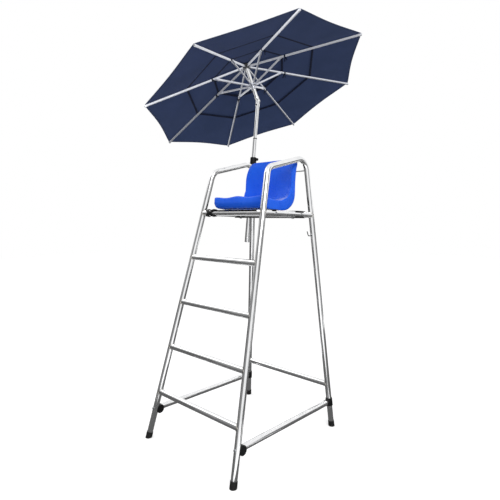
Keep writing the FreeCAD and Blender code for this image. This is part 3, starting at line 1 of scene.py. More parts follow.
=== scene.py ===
import bmesh
import bpy
import json
import math
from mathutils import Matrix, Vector
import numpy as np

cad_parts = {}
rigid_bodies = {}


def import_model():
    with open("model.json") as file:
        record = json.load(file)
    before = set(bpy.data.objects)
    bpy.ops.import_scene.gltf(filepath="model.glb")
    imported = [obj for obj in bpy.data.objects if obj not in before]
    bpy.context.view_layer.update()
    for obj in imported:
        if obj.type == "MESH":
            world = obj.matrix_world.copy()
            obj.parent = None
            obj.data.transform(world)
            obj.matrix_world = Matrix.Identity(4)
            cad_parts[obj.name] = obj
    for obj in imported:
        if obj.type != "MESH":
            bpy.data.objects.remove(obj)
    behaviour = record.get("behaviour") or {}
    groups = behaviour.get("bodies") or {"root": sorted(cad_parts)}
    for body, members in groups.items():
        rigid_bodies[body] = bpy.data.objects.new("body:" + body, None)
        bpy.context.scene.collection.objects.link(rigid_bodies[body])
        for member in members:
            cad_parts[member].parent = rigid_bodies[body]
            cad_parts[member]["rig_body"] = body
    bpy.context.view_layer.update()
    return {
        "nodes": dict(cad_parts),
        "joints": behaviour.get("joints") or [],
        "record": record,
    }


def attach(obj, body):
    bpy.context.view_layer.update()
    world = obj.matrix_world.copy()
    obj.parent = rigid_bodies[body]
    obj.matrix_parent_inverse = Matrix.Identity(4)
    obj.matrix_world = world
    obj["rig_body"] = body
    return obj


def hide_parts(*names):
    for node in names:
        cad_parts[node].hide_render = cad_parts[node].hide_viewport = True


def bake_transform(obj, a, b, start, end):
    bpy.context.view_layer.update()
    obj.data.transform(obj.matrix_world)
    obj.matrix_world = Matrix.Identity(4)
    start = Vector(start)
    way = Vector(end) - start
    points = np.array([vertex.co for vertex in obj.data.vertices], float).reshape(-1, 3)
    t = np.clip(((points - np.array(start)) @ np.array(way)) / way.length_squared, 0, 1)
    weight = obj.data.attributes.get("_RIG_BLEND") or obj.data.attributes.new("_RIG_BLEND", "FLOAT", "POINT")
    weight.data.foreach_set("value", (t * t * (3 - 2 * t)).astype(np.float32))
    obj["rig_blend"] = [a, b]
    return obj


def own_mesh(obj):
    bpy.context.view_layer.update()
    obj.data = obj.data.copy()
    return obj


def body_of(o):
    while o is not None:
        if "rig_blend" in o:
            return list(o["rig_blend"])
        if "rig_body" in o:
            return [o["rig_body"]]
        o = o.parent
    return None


bl_info = {
    "name": "Lifeguard chair",
    "version": (1, 0, 0),
    "blender": (4, 5, 0),
    "location": "View3D > Sidebar > Lifeguard chair",
    "description": "Dresses the lifeguard chair and its tilting umbrella",
    "category": "Object",
}

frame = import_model()
JOINTS = {joint["name"]: joint for joint in frame["joints"]}
FEET = {mount["name"]: Vector(mount["pos_m"]) for mount in frame["record"]["mounts"]}
# From the front feet to the middle of the base, from which the camera and the frame's sizes are counted
FRONT_REACH = 0.564
RIBS = 8


# Where the umbrella stands, from its joints

def joint_point(name):
    return Vector(JOINTS[name]["pos_m"])


CANOPY_UP = -Vector(JOINTS["runner_slide"]["axis"]).normalized()
RING_CENTRE = sum((joint_point("rib_%d_fold" % k) for k in range(1, RIBS + 1)), Vector()) / RIBS
BASE_CENTRE = ((FEET["foot_front_left"] + FEET["foot_front_right"]) / 2) + Vector((0, FRONT_REACH, 0))


# Sizes and colours that a user would change

def length(name, default, description):
    return bpy.props.FloatProperty(name=name, description=description, default=default,
                                   unit="LENGTH", subtype="DISTANCE", precision=4)


def degrees(name, default, description):
    return bpy.props.FloatProperty(name=name, description=description, default=math.radians(default),
                                   subtype="ANGLE")


def colour(name, default, description):
    return bpy.props.StringProperty(name=name, description=description, default=default)


class FrameSizes(bpy.types.PropertyGroup):
    steel: colour("Polished steel", "#F4F4F5", "Colour of the polished stainless tubes")
    tube: length("Tube diameter", 0.038, "Legs, armrests, rungs, rails and bars")
    rod: length("Back rod diameter", 0.012, "Thin rod behind the seat back")
    weld_bead: length("Weld bead", 0.0026, "Radius of the weld beads between the tubes")
    weld_ripple: length("Weld ripple", 0.0042, "From one ripple of a weld bead to the next")
    tie_swell: length("Tie swell", 0.0046, "How far the front bar's tie stands out past its solid")
    half_width: length("Base half width", 0.403, "Middle of the base to a leg, at the floor")
    front_reach: length("Front reach", FRONT_REACH, "Middle of the base to the front legs, at the floor")
    rear_reach: length("Rear reach", 0.4145, "Middle of the base to the rear legs, at the floor")
    seat_bar: length("Seat bar height", 1.5, "Floor to the front seat bar")
    rail_drop: length("Rail drop", 0.014, "How much lower the seat rails end at the rear legs")
    rung_pitch: length("Rung pitch", 0.3, "Height from rung to rung")
    back_rod: length("Back rod height", 1.79, "Floor to the thin rod behind the seat back")
    lean: degrees("Side lean", 4.944, "How far each side frame leans inwards")
    front_rake: degrees("Front rake", 14.45, "How far the front legs lean back")
    rear_rake: degrees("Rear rake", 3.616, "How far the rear legs lean forward")


class SeatSizes(bpy.types.PropertyGroup):
    plastic: colour("Seat plastic", "#266BF8", "Colour of the moulded bucket seat")
    grain: length("Plastic grain", 0.0012, "Spacing of the fine grain on the seat")
    half_width: length("Seat half width", 0.215, "Bucket seat, middle to side")
    overhang: length("Front overhang", 0.056, "Front lip ahead of the front support")
    support: length("Front support place", -0.078, "Front seat support, from the middle of the base")
    lift: length("Seat lift", 0.004, "Top of the seat rails to the underside of the seat")
    depth: length("Seat depth", 0.356, "Front lip to the back of the shell")
    pan: length("Pan height", 0.048, "Underside of the seat to where one sits")
    rim: length("Rim height", 0.070, "Underside of the seat to the sides of the pan")
    lip: length("Lip height", 0.082, "Underside of the seat to its front lip")
    back: length("Back height", 0.358, "Underside of the seat to the top of its back")
    shell: length("Back thickness", 0.024, "Back of the seat at the middle")
    wing: length("Wing thickness", 0.046, "Back of the seat at its sides")


class CanopySizes(bpy.types.PropertyGroup):
    reach: length("Rib reach", 0.844, "Hub axis to the tips of the ribs")
    drop: length("Rib drop", 0.2379, "How much lower the tips of the ribs are")
    ring: length("Ring radius", 0.020, "Ring that the ribs hang on")
    lift: length("Cloth lift", 0.0089, "Cloth above the middle line of a rib")
    vent: length("Vent gap", 0.0095, "Height between two tiers at a vent")
    past_tip: length("Past the tip", 0.002, "How far the outer hem reaches past the tips of the ribs")
    crown: length("Crown hole", 0.012, "Radius of the hole for the finial in the top tier")
    scallop: length("Hem scallop", 0.015, "How far the hem draws in between two ribs")
    sag: length("Cloth sag", 0.004, "How far the cloth sinks between two ribs")
    thickness: length("Cloth thickness", 0.0009, "Canopy cloth and ties")
    hem: length("Hem width", 0.016, "Folded and sewn edge of the cloth")
    hem_thickness: length("Hem thickness", 0.0021, "Folded and sewn edge of the cloth")
    seam: length("Seam half width", 0.009, "Doubled cloth over a rib, middle to side")
    seam_thickness: length("Seam thickness", 0.0018, "Doubled cloth over a rib")
    seam_stitches: length("Seam stitches", 0.0065, "Middle of a rib to the stitches beside it")
    stitch: length("Stitch pitch", 0.009, "From one stitch to the next")
    thread_width: length("Thread width", 0.0008, "Stitches, along the cloth")
    thread_height: length("Thread height", 0.0028, "Stitches, through the cloth")
    tie_place: length("Tie place", 0.305, "Hub axis to the ties that hold the cloth to the ribs")
    cloth: colour("Canopy cloth", "#3D4C72", "Colour of the woven canopy cloth")
    # Near black: the binding's own dark navy, with painted shade for the shadow in the vent gap
    trim: colour("Vent hems and ties", "#151E38", "Colour of the binding at the vents and of the ties")
    thread: colour("Thread", "#27335A", "Colour of the stitches")


class StageSizes(bpy.types.PropertyGroup):
    camera_place: bpy.props.FloatVectorProperty(
        name="Camera place", description="Camera from the middle of the base", size=3,
        default=(2.0086, -2.1442, 1.4784), subtype="XYZ", unit="LENGTH")
    camera_target: bpy.props.FloatVectorProperty(
        name="Camera target", description="What the camera faces, from the middle of the base", size=3,
        default=(0.0, 0.0, 1.2492), subtype="XYZ", unit="LENGTH")
    lens: bpy.props.FloatProperty(name="Lens", description="Focal length in millimetres on a 36 mm sensor",
                                  default=31.18)
    floor: colour("Floor", "#F7F7F7", "Colour of the studio floor")


# Colour and nodes

def linear(hex_colour):
    """A colour written as sRGB hex, as linear RGBA."""
    parts = [int(hex_colour[i:i + 2], 16) / 255 for i in (1, 3, 5)]
    return [c / 12.92 if c <= 0.04045 else ((c + 0.055) / 1.055) ** 2.4 for c in parts] + [1.0]


def set_inputs(tree, node, inputs):
    """Gives each input a value, or a link from a socket or from the first output of another node."""
    for name, value in inputs.items():
        if isinstance(value, bpy.types.Node):
            value = value.outputs[0]
        if isinstance(value, bpy.types.NodeSocket):
            tree.links.new(value, node.inputs[name])
        else:
            node.inputs[name].default_value = value


def add(tree, kind, inputs=None, **settings):
    """A new node with its settings and its inputs."""
    node = tree.nodes.new(kind)
    for name, value in settings.items():
        setattr(node, name, value)
    set_inputs(tree, node, inputs or {})
    return node


def bare_material(name):
    material = bpy.data.materials.new(name)
    material.use_nodes = True
    material.node_tree.nodes.clear()
    return material, material.node_tree


def new_material(name):
    """A material, its tree, its surface and where a point lies on the object."""
    material, tree = bare_material(name)
    surface = add(tree, "ShaderNodeBsdfPrincipled")
    add(tree, "ShaderNodeOutputMaterial", {"Surface": surface})
    return material, tree, surface, add(tree, "ShaderNodeTexCoord").outputs["Object"]


def mottle(tree, place, spacing, low=0.0, high=1.0, detail=2.0):
    """A value that wanders between low and high over a real distance in metres."""
    # The noise seldom leaves the stretch from 0.3 to 0.7
    noise = add(tree, "ShaderNodeTexNoise", {"Vector": place, "Scale": 1 / spacing, "Detail": detail})
    return add(tree, "ShaderNodeMapRange", {"Value": noise, "From Min": 0.3, "From Max": 0.7,
                                            "To Min": low, "To Max": high})


def tinted(tree, amount, low, high):
    """A colour between two hex colours."""
    return add(tree, "ShaderNodeMix", {0: amount, 6: linear(low), 7: linear(high)},
               data_type="RGBA").outputs[2]


def bumped(tree, height, distance, strength=1.0):
    return add(tree, "ShaderNodeBump", {"Height": height, "Distance": distance, "Strength": strength})


def mottled(name, inputs, shade, gloss, relief=None):
    """A finish that wanders. Its shade, gloss and relief each start with a real distance in metres.

    Two hex colours follow in shade, two roughnesses and a detail in gloss, and a depth in metres in relief.
    """
    material, tree, surface, place = new_material(name)
    spacing, low, high = shade
    set_inputs(tree, surface, {"Base Color": tinted(tree, mottle(tree, place, spacing), low, high),
                               "Roughness": mottle(tree, place, *gloss), **inputs})
    if relief:
        set_inputs(tree, surface, {"Normal": bumped(tree, mottle(tree, place, relief[0]), relief[1])})
    return material


# Finishes

def polished_stainless():
    # Stainless tube, drawn and then buffed bright: it mirrors the room with faint cloudy buffing marks
    return mottled("polished stainless tube", {"Metallic": 1.0},
                   (0.060, "#E9EAEB", bpy.context.scene.chair_frame.steel), (0.012, 0.06, 0.11, 3.0))


def welded_stainless():
    # Weld bead in stainless wire, brushed clean: duller than the tube, with a straw tint from the heat
    return mottled("brushed stainless weld", {"Metallic": 1.0}, (0.012, "#A9A8A6", "#C2BDB2"),
                   (0.002, 0.28, 0.42), (0.0015, 0.0002))


def pale_aluminium():
    # Aluminium tube, etched and silver anodised: a pale satin that blurs the room, a little cloudy
    return mottled("satin anodised aluminium", {"Metallic": 0.8}, (0.030, "#DFE2EB", "#E8EAF1"),
                   (0.006, 0.28, 0.36), (0.0025, 0.00002))


def zinc_plated():
    # Zinc-plated steel bolt: bright grey with a slight spangle and a dulled edge
    material, tree, surface, place = new_material("zinc plated steel")
    spangle = add(tree, "ShaderNodeTexVoronoi", {"Vector": place, "Scale": 1 / 0.003})
    set_inputs(tree, surface, {
        "Metallic": 1.0, "Base Color": tinted(tree, spangle, "#B4B8BC", "#CDD0D2"),
        "Roughness": mottle(tree, place, 0.003, 0.28, 0.42), "Normal": bumped(tree, spangle, 0.00005)})
    return material


def black_nylon():
    # Injection-moulded black nylon: a soft sheen over a fine spark-eroded texture
    return mottled("moulded black nylon", {"IOR": 1.53, "Specular IOR Level": 0.32},
                   (0.020, "#08090A", "#0F1012"), (0.008, 0.42, 0.55), (0.0010, 0.00006))


def black_rubber():
    # Moulded black rubber, scuffed pale in the lowest centimetre, where it meets the floor
    material, tree, surface, place = new_material("moulded black rubber")
    height = add(tree, "ShaderNodeSeparateXYZ", {"Vector": place}).outputs["Z"]
    low = add(tree, "ShaderNodeMapRange", {"Value": height, "From Max": 0.012,
                                           "To Min": 0.75, "To Max": 0.0})
    scuff = add(tree, "ShaderNodeMath", {0: low, 1: mottle(tree, place, 0.006, detail=4.0)},
                operation="MULTIPLY")
    set_inputs(tree, surface, {
        "Base Color": tinted(tree, scuff, "#131313", "#3A3937"),
        "Roughness": mottle(tree, place, 0.010, 0.62, 0.80), "IOR": 1.52,
        "Normal": bumped(tree, mottle(tree, place, 0.0012), 0.00008)})
    return material


def black_powder_coat():
    # Black powder coat over steel strip: low gloss with an orange-peel surface
    return mottled("black powder coat", {"IOR": 1.5}, (0.030, "#121315", "#1B1C1F"), (0.010, 0.36, 0.48),
                   (0.0025, 0.00012))


def moulded_seat_plastic():
    # Polypropylene, injection moulded: a satin sheen, with a fine leather grain and faint flow marks
    sizes = bpy.context.scene.chair_seat
    material, tree, surface, place = new_material("moulded blue polypropylene")
    grain = add(tree, "ShaderNodeTexVoronoi", {"Vector": place, "Scale": 1 / sizes.grain},
                feature="SMOOTH_F1")
    set_inputs(tree, surface, {
        "Base Color": tinted(tree, mottle(tree, place, 0.120), "#1E60EC", sizes.plastic),
        "Roughness": mottle(tree, place, 0.030, 0.26, 0.36), "IOR": 1.49, "Specular IOR Level": 0.14,
        "Normal": bumped(tree, grain, 0.00002, 0.4)})
    return material


MATT_CLOTH = {"Roughness": 0.9, "Specular IOR Level": 0.15, "Sheen Weight": 0.03, "Sheen Roughness": 0.5}


def canopy_cloth_finish():
    # Plain-woven polyester, dyed in the yarn and coated inside: matt with a faint sheen.
    # The real threads are 0.3 mm apart; the weave is drawn at about 1.5 mm so that it shows.
    threads = 0.0015
    material, tree, surface, place = new_material("woven polyester canopy")
    cloth = add(tree, "ShaderNodeUVMap", uv_map="cloth")
    warp, weft = [add(tree, "ShaderNodeTexWave", {"Vector": cloth, "Scale": 1 / (math.pi * threads)},
                      bands_direction=way).outputs["Fac"] for way in "XY"]
    weave = add(tree, "ShaderNodeMath", {0: warp, 1: weft}, operation="MULTIPLY")
    shade = tinted(tree, mottle(tree, place, 0.180), "#38476B", bpy.context.scene.chair_canopy.cloth)
    set_inputs(tree, surface, {"Base Color": shade, "Normal": bumped(tree, weave, 0.00015, 0.6),
                               **MATT_CLOTH})
    return material


def shaded_doubled_cloth(name, low, high):
    # The same cloth folded over and sewn, and a little ribbed. It is darker as painted shade, for the light
    # that a double layer lets no way through
    material, tree, surface, place = new_material(name)
    ribs = add(tree, "ShaderNodeTexNoise", {"Vector": place, "Scale": 1 / 0.002})
    set_inputs(tree, surface, {"Base Color": tinted(tree, mottle(tree, place, 0.050), low, high),
                               "Normal": bumped(tree, ribs, 0.0002), **MATT_CLOTH})
    return material


def canopy_hem_finish():
    return shaded_doubled_cloth("hemmed polyester canopy with painted shade", "#344263", "#3A486C")


def canopy_trim_finish():
    # Binding for the vent hems and the ties: its own dark navy, darkened further as painted shade for the
    # shadow in the vent gap
    return shaded_doubled_cloth("polyester binding tape with painted shade", "#121A30", bpy.context.scene.chair_canopy.trim)


def thread_finish():
    # Bonded polyester sewing thread: smooth and slightly shiny. It is drawn thicker than its 0.3 mm.
    material, tree, surface, place = new_material("polyester sewing thread")
    fibres = bumped(tree, mottle(tree, place, 0.0010), 0.0001)
    set_inputs(tree, surface, {"Base Color": linear(bpy.context.scene.chair_canopy.thread),
                               "Roughness": 0.55, "Normal": fibres})
    return material


FINISHES = {"steel_tube": polished_stainless, "weld": welded_stainless, "pale_aluminium": pale_aluminium,
            "zinc_steel": zinc_plated, "black_plastic": black_nylon, "black_rubber": black_rubber,
            "black_steel": black_powder_coat, "blue_plastic": moulded_seat_plastic,
            "navy_cloth": canopy_cloth_finish, "hem": canopy_hem_finish, "trim": canopy_trim_finish,
            "thread": thread_finish}
MIXED = {}


def finish_of(name):
    """The material of a finish, mixed once."""
    if name not in MIXED:
        MIXED[name] = FINISHES[name]()
    return MIXED[name]


def dress(piece, finish):
    piece.data.materials.clear()
    piece.data.materials.append(finish_of(finish))


# Pieces

def linked(name, data):
    """A new object in the scene."""
    made = bpy.data.objects.new(name, data)
    bpy.context.collection.objects.link(made)
    return made


def plain_piece(name, points, faces):
    mesh = bpy.data.meshes.new(name)
    mesh.from_pydata(points, [], faces)
    return linked(name, mesh)


def smooth_piece(name, work, mesh=None):
    """A piece with smooth faces from a worked mesh, in a mesh of its own or in one that is given."""
    for face in work.faces:
        face.smooth = True
    mesh = mesh or bpy.data.meshes.new(name)
    work.to_mesh(mesh)
    work.free()
    return linked(name, mesh)


def merged_copy(node, name):
    """A copy of a CAD node with its triangles joined, smooth up to an angle, as a piece of its own."""
    sharp, apart = math.radians(35), 0.00002
    mesh = frame["nodes"][node].data.copy()
    mesh.name = name
    if "custom_normal" in mesh.attributes:
        mesh.attributes.remove(mesh.attributes["custom_normal"])
    work = bmesh.new()
    work.from_mesh(mesh)
    bmesh.ops.remove_doubles(work, verts=work.verts, dist=apart)
    for edge in work.edges:
        edge.smooth = len(edge.link_faces) == 2 and edge.calc_face_angle() < sharp
    return smooth_piece(name, work, mesh)


def body_of_node(node):
    return body_of(frame["nodes"][node])[0]


def dressed_copy(node, finish):
    piece = merged_copy(node, node + "_finish")
    dress(piece, finish)
    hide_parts(node)
    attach(piece, body_of_node(node))
    return piece


def line_mesh(name, lines, closed):
    mesh = bpy.data.meshes.new(name)
    points, edges = [], []
    for line in lines:
        first = len(points)
        points += line
        edges += [(first + i, first + i + 1) for i in range(len(line) - 1)]
        if closed:
            edges.append((first + len(line) - 1, first))
    mesh.from_pydata(points, edges, [])
    return mesh


def node_group(name, sizes):
    """A geometry tree that takes lines and named sizes, and the node that gives them."""
    tree = bpy.data.node_groups.new(name, "GeometryNodeTree")
    tree.interface.new_socket("Lines", in_out="INPUT", socket_type="NodeSocketGeometry")
    for label in sizes:
        tree.interface.new_socket(label, in_out="INPUT", socket_type="NodeSocketFloat")
    tree.interface.new_socket("Result", in_out="OUTPUT", socket_type="NodeSocketGeometry")
    return tree, add(tree, "NodeGroupInput")


def finished_tree(tree, geometry, finish):
    real = add(tree, "GeometryNodeRealizeInstances", {"Geometry": geometry})
    painted = add(tree, "GeometryNodeSetMaterial", {"Geometry": real, "Material": finish_of(finish)})
    add(tree, "NodeGroupOutput", {"Result": painted})
    return tree


def shaped(name, mesh, tree, sizes):
    """The mesh that a geometry tree makes from a mesh of lines, as a plain object."""
    source = linked(name + "_lines", mesh)
    modifier = source.modifiers.new("shape", "NODES")
    modifier.node_group = tree
    for item in tree.interface.items_tree:
        if item.item_type == "SOCKET" and item.in_out == "INPUT" and item.name in sizes:
            modifier[item.identifier] = sizes[item.name]
    graph = bpy.context.evaluated_depsgraph_get()
    result = bpy.data.meshes.new_from_object(source.evaluated_get(graph))
    result.name = name
    bpy.data.objects.remove(source)
    return linked(name, result)


# Tube frame

# Points on a seam, and the stretch of leg above and below it that gives the leg's direction
SEAM_POINTS = 40
LEG_STRETCH = 0.2
# Step along a weld bead, how far a ripple swells as a share of its radius, and the sides of a bead
BEAD_STEP = 0.0016
RIPPLE_SWELL = 0.14
BEAD_SIDES = 8


def leg_point(end, side, height):
    """A point on a leg's centre line: end is front or rear, side is -1 or 1."""
    sizes = bpy.context.scene.chair_frame
    x = side * (sizes.half_width - height * math.tan(sizes.lean))
    if end == "front":
        y = -sizes.front_reach + height * math.tan(sizes.front_rake)
    else:
        y = sizes.rear_reach - height * math.tan(sizes.rear_rake)
    return BASE_CENTRE + Vector((x, y, height))


def leg_seam(start, place, radius):
    """The line where a tube from a start meets a leg, at a place given as for leg_point."""
    end, side, height = place
    spot = leg_point(end, side, height)
    below, above = [leg_point(end, side, height + step) for step in (-LEG_STRETCH, LEG_STRETCH)]
    along = (spot - start).normalized()
    leg = (above - below).normalized()
    across = along.cross(leg).normalized()
    other = along.cross(across)
    step = along - leg * along.dot(leg)
    leg_radius = bpy.context.scene.chair_frame.tube / 2
    points = []
    for i in range(SEAM_POINTS):
        angle = 2 * math.pi * i / SEAM_POINTS
        edge = spot + (across * math.cos(angle) + other * math.sin(angle)) * radius
        offset = edge - below
        offset -= leg * offset.dot(leg)
        a, b, c = step.dot(step), 2 * offset.dot(step), offset.dot(offset) - leg_radius ** 2
        root = max(0.0, b * b - 4 * a * c)
        points.append(edge + along * ((-b - math.sqrt(root)) / (2 * a)))
    return points


def weld_lines():
    """Every seam between two tubes of the frame, as a closed line of points."""
    sizes = bpy.context.scene.chair_frame
    radius = sizes.tube / 2
    rail_end = sizes.seat_bar - sizes.rail_drop
    bars = [("front", sizes.rung_pitch * k, radius) for k in (1, 2, 3, 4)]
    bars += [("front", sizes.seat_bar, radius), ("rear", rail_end, radius),
             ("rear", sizes.rung_pitch, radius), ("rear", sizes.back_rod, sizes.rod / 2)]
    tubes = [((end, -1, height), (end, 1, height), thick) for end, height, thick in bars]
    tubes += [(("rear", side, rail_end), ("front", side, sizes.seat_bar), radius) for side in (-1, 1)]
    return [leg_seam(leg_point(*start), place, thick) for one, other, thick in tubes
            for start, place in ((one, other), (other, one))]


def weld_bead_tree():
    """Rippled beads swept along the seams."""
    tree, given = node_group("weld beads", ["Bead radius", "Ripple length"])
    line = add(tree, "GeometryNodeMeshToCurve", {"Mesh": given.outputs["Lines"]})
    even = add(tree, "GeometryNodeResampleCurve", {"Curve": line, "Length": BEAD_STEP}, mode="LENGTH")
    place = add(tree, "GeometryNodeSplineParameter").outputs["Length"]
    turns = add(tree, "ShaderNodeMath", {0: place, 1: given.outputs["Ripple length"]}, operation="DIVIDE")
    angle = add(tree, "ShaderNodeMath", {0: turns, 1: 2 * math.pi}, operation="MULTIPLY")
    wave = add(tree, "ShaderNodeMath", {0: angle}, operation="SINE")
    share = add(tree, "ShaderNodeMath", {0: wave, 1: RIPPLE_SWELL, 2: 1.0}, operation="MULTIPLY_ADD")
    radius = add(tree, "ShaderNodeMath", {0: share, 1: given.outputs["Bead radius"]}, operation="MULTIPLY")
    profile = add(tree, "GeometryNodeCurvePrimitiveCircle", {"Resolution": BEAD_SIDES, "Radius": 1.0})
    swept = add(tree, "GeometryNodeCurveToMesh",
                {"Curve": even, "Profile Curve": profile, "Scale": radius})
    return finished_tree(tree, add(tree, "GeometryNodeSetShadeSmooth", {"Geometry": swept}), "weld")


TUBES = ["side_frame_left", "side_frame_right", "ladder_rungs", "seat_front_bar", "seat_rear_bar",
         "lower_rear_bar", "back_rod", "seat_rail_left", "seat_rail_right", "lower_crossbar_left",
         "lower_crossbar_right", "umbrella_holder", "lower_pole", "upper_pole", "canopy_pole", "tilt_fork",
         "tilt_knuckle"]


class OBJECT_OT_chair_tubes(bpy.types.Operator):
    """Gives the tubes of the chair and the umbrella their polish, and the frame its weld beads"""
    bl_idname = "object.chair_tubes"
    bl_label = "Tube frame"

    def execute(self, context):
        for node in TUBES:
            dressed_copy(node, "steel_tube")
        sizes = context.scene.chair_frame
        welds = shaped("weld_beads", line_mesh("weld_lines", weld_lines(), True), weld_bead_tree(),
                       {"Bead radius": sizes.weld_bead, "Ripple length": sizes.weld_ripple})
        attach(welds, "chair_frame")
        return {"FINISHED"}


# Fittings, ribs and struts

SMALL_PARTS = {
    "crossbar_end_fittings": "black_plastic", "crossbar_bolts": "zinc_steel", "foot_caps": "black_rubber",
    "seat_supports": "black_steel", "seat_fasteners": "zinc_steel", "bag_hook": "black_steel",
    "front_bar_tie": "black_plastic", "holder_stop_pin": "zinc_steel", "holder_brackets": "steel_tube",
    "holder_collar": "black_plastic", "clamp_knob": "black_plastic", "pole_bush": "black_plastic",
    "tilt_pin": "zinc_steel", "tilt_button": "black_plastic", "button_spring": "zinc_steel",
    "top_hub": "black_steel", "runner": "pale_aluminium", "finial": "black_plastic"}


def swell(piece, amount):
    """Lays a piece on thicker, as tape that is wound more than once."""
    work = bmesh.new()
    work.from_mesh(piece.data)
    work.normal_update()
    for vert, way in [(vert, vert.normal.copy()) for vert in work.verts]:
        vert.co += way * amount
    work.to_mesh(piece.data)
    work.free()


def press_spring(spring):
    """Gives the coil a mesh of its own."""
    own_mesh(spring)


class OBJECT_OT_chair_small_parts(bpy.types.Operator):
    """Gives fittings, bolts, caps and brackets their finishes"""
    bl_idname = "object.chair_small_parts"
    bl_label = "Fittings"

    def execute(self, context):
        for node, finish in SMALL_PARTS.items():
            piece = dressed_copy(node, finish)
            if node == "front_bar_tie":
                swell(piece, context.scene.chair_frame.tie_swell)
            if node == "button_spring":
                press_spring(piece)
        return {"FINISHED"}


class OBJECT_OT_chair_umbrella_frame(bpy.types.Operator):
    """Gives the ribs and struts their satin aluminium"""
    bl_idname = "object.chair_umbrella_frame"
    bl_label = "Ribs and struts"

    def execute(self, context):
        for node in ["%s_%d" % (kind, k) for kind in ("rib", "strut") for k in range(1, RIBS + 1)]:
            dressed_copy(node, "pale_aluminium")
        return {"FINISHED"}


# Seat

# Places of the seat's sections from its middle to its side, closer together where it rounds off, and the
# runs between two points of a section
SEAT_SHARES = (0, 0.08, 0.16, 0.24, 0.32, 0.40, 0.48, 0.55, 0.62, 0.68, 0.74, 0.79, 0.84, 0.88, 0.91,
               0.935, 0.955, 0.97, 0.982, 0.991, 0.997, 1.0)
SECTION_RUNS = 5
# Where the side begins to round off, and how much of its thickness is left at the very edge
ROUND_FROM = 0.95
EDGE_FULLNESS = 0.66


def side_fullness(share):
    """How much of its thickness the shell keeps towards its rounded sides."""
    t = max(0.0, (share - ROUND_FROM) / (1 - ROUND_FROM))
    return EDGE_FULLNESS + (1 - EDGE_FULLNESS) * math.sqrt(max(0.0, 1 - t ** 2.4))


def seat_section(share, fullness):
    """A closed outline of the shell at one place across the seat, as (reach, height) in metres.

    Its points go from the front lip to the top of the back, listed for the underside and the upper side.
    """
    sizes = bpy.context.scene.chair_seat
    side = share ** 2.2
    lip = -sizes.overhang + 0.003 * share ** 8
    depth = sizes.depth
    top = sizes.back - 0.022 * share ** 12
    front = sizes.lip + 0.005 * math.cos(2 * math.pi * share) * (1 - share / 2)
    bow = 0.008 * (1 - share ** 2)
    back = -sizes.overhang + depth * 0.985 + bow

    def blend(middle, edge):
        return middle + (edge - middle) * side

    shell, wing = blend(sizes.shell, sizes.wing), sizes.wing
    under = [
        (lip, 0.036), (lip + 0.019, 0.013), (lip + depth * 0.21, 0.005), (lip + depth * 0.41, 0),
        (lip + depth * 0.61, 0), (lip + depth * 0.76, blend(0.002, 0.008)),
        (back - 0.033, blend(0.026, 0.036)), (back - 0.008, blend(0.062, 0.071)), (back, top * 0.335),
        (back, top * 0.53), (back + 0.003, top * 0.685), (back + 0.009, top * 0.84),
        (back + 0.017, top * 0.944)]
    above = [
        (lip + 0.004, front), (lip + depth * 0.10, front - 0.003),
        (lip + depth * 0.24, blend(sizes.pan * 1.25, sizes.rim + 0.005)),
        (lip + depth * 0.42, blend(sizes.pan, sizes.rim - 0.002)),
        (lip + depth * 0.59, blend(sizes.pan - 0.002, sizes.rim + 0.001)),
        (lip + depth * 0.73, blend(sizes.pan + 0.006, sizes.rim + 0.019)),
        (back - blend(sizes.shell + 0.024, wing + 0.018), blend(sizes.pan + 0.032, sizes.rim + 0.042)),
        (back - blend(sizes.shell + 0.009, wing + 0.007), blend(sizes.pan + 0.068, sizes.rim + 0.070)),
        (back - shell, top * 0.46), (back - shell + 0.002, top * 0.59),
        (back - shell + 0.006, top * 0.73),
        (back + 0.009 - blend(sizes.shell - 0.005, wing - 0.012), top * 0.86),
        (back + 0.017 - blend(sizes.shell - 0.010, wing - 0.023), top * 0.953)]
    low, high = [], []
    for (y0, z0), (y1, z1) in zip(under, above):
        y, z = (y0 + y1) / 2, (z0 + z1) / 2
        low.append((y + (y0 - y) * fullness, z + (z0 - z) * fullness))
        high.append((y + (y1 - y) * fullness, z + (z1 - z) * fullness))
    inset = 0.020 * (1 - fullness)
    nose = (lip - 0.003 + inset, 0.060)
    crest = (back + 0.015 - blend(0.004, 0.006), top - inset)
    return [nose] + low + [crest] + high[::-1]


def smooth_loop(points, steps):
    """A closed curve through the points, with so many runs between two of them."""
    made = []
    count = len(points)
    for i in range(count):
        before, start, end, after = (points[(i + k) % count] for k in (-1, 0, 1, 2))
        for step in range(steps):
            t = step / steps
            made.append(tuple(
                0.5 * (2 * start[c] + (end[c] - before[c]) * t
                       + (2 * before[c] - 5 * start[c] + 4 * end[c] - after[c]) * t * t
                       + (3 * start[c] - before[c] - 3 * end[c] + after[c]) * t ** 3) for c in (0, 1)))
    return made


def seat_place(x, reach, height):
    """A point of the seat, given across the chair, along its rails and up from its underside."""
    tubes, seat = bpy.context.scene.chair_frame, bpy.context.scene.chair_seat
    start = leg_point("front", 1, tubes.seat_bar) - BASE_CENTRE
    end = leg_point("rear", 1, tubes.seat_bar - tubes.rail_drop) - BASE_CENTRE
    share = (seat.support - start.y) / (end.y - start.y)
    along = Vector((0, end.y - start.y, end.z - start.z)).normalized()
    up = Vector((0, -along.z, along.y))
    middle = Vector((0, seat.support, start.z + (end.z - start.z) * share))
    return (BASE_CENTRE + middle + Vector((x, 0, 0)) + along * reach
            + up * (tubes.tube / 2 + seat.lift + height))


def close_side(work, ring):
    """Fills the side of the seat with a strip of faces from its underside to its upper side."""
    count = len(ring)
    for i in range(count // 2 - 1):
        corners = (ring[i], ring[i + 1], ring[count - 2 - i], ring[count - 1 - i])
        if len(set(corners)) == 4:
            work.faces.new(corners)


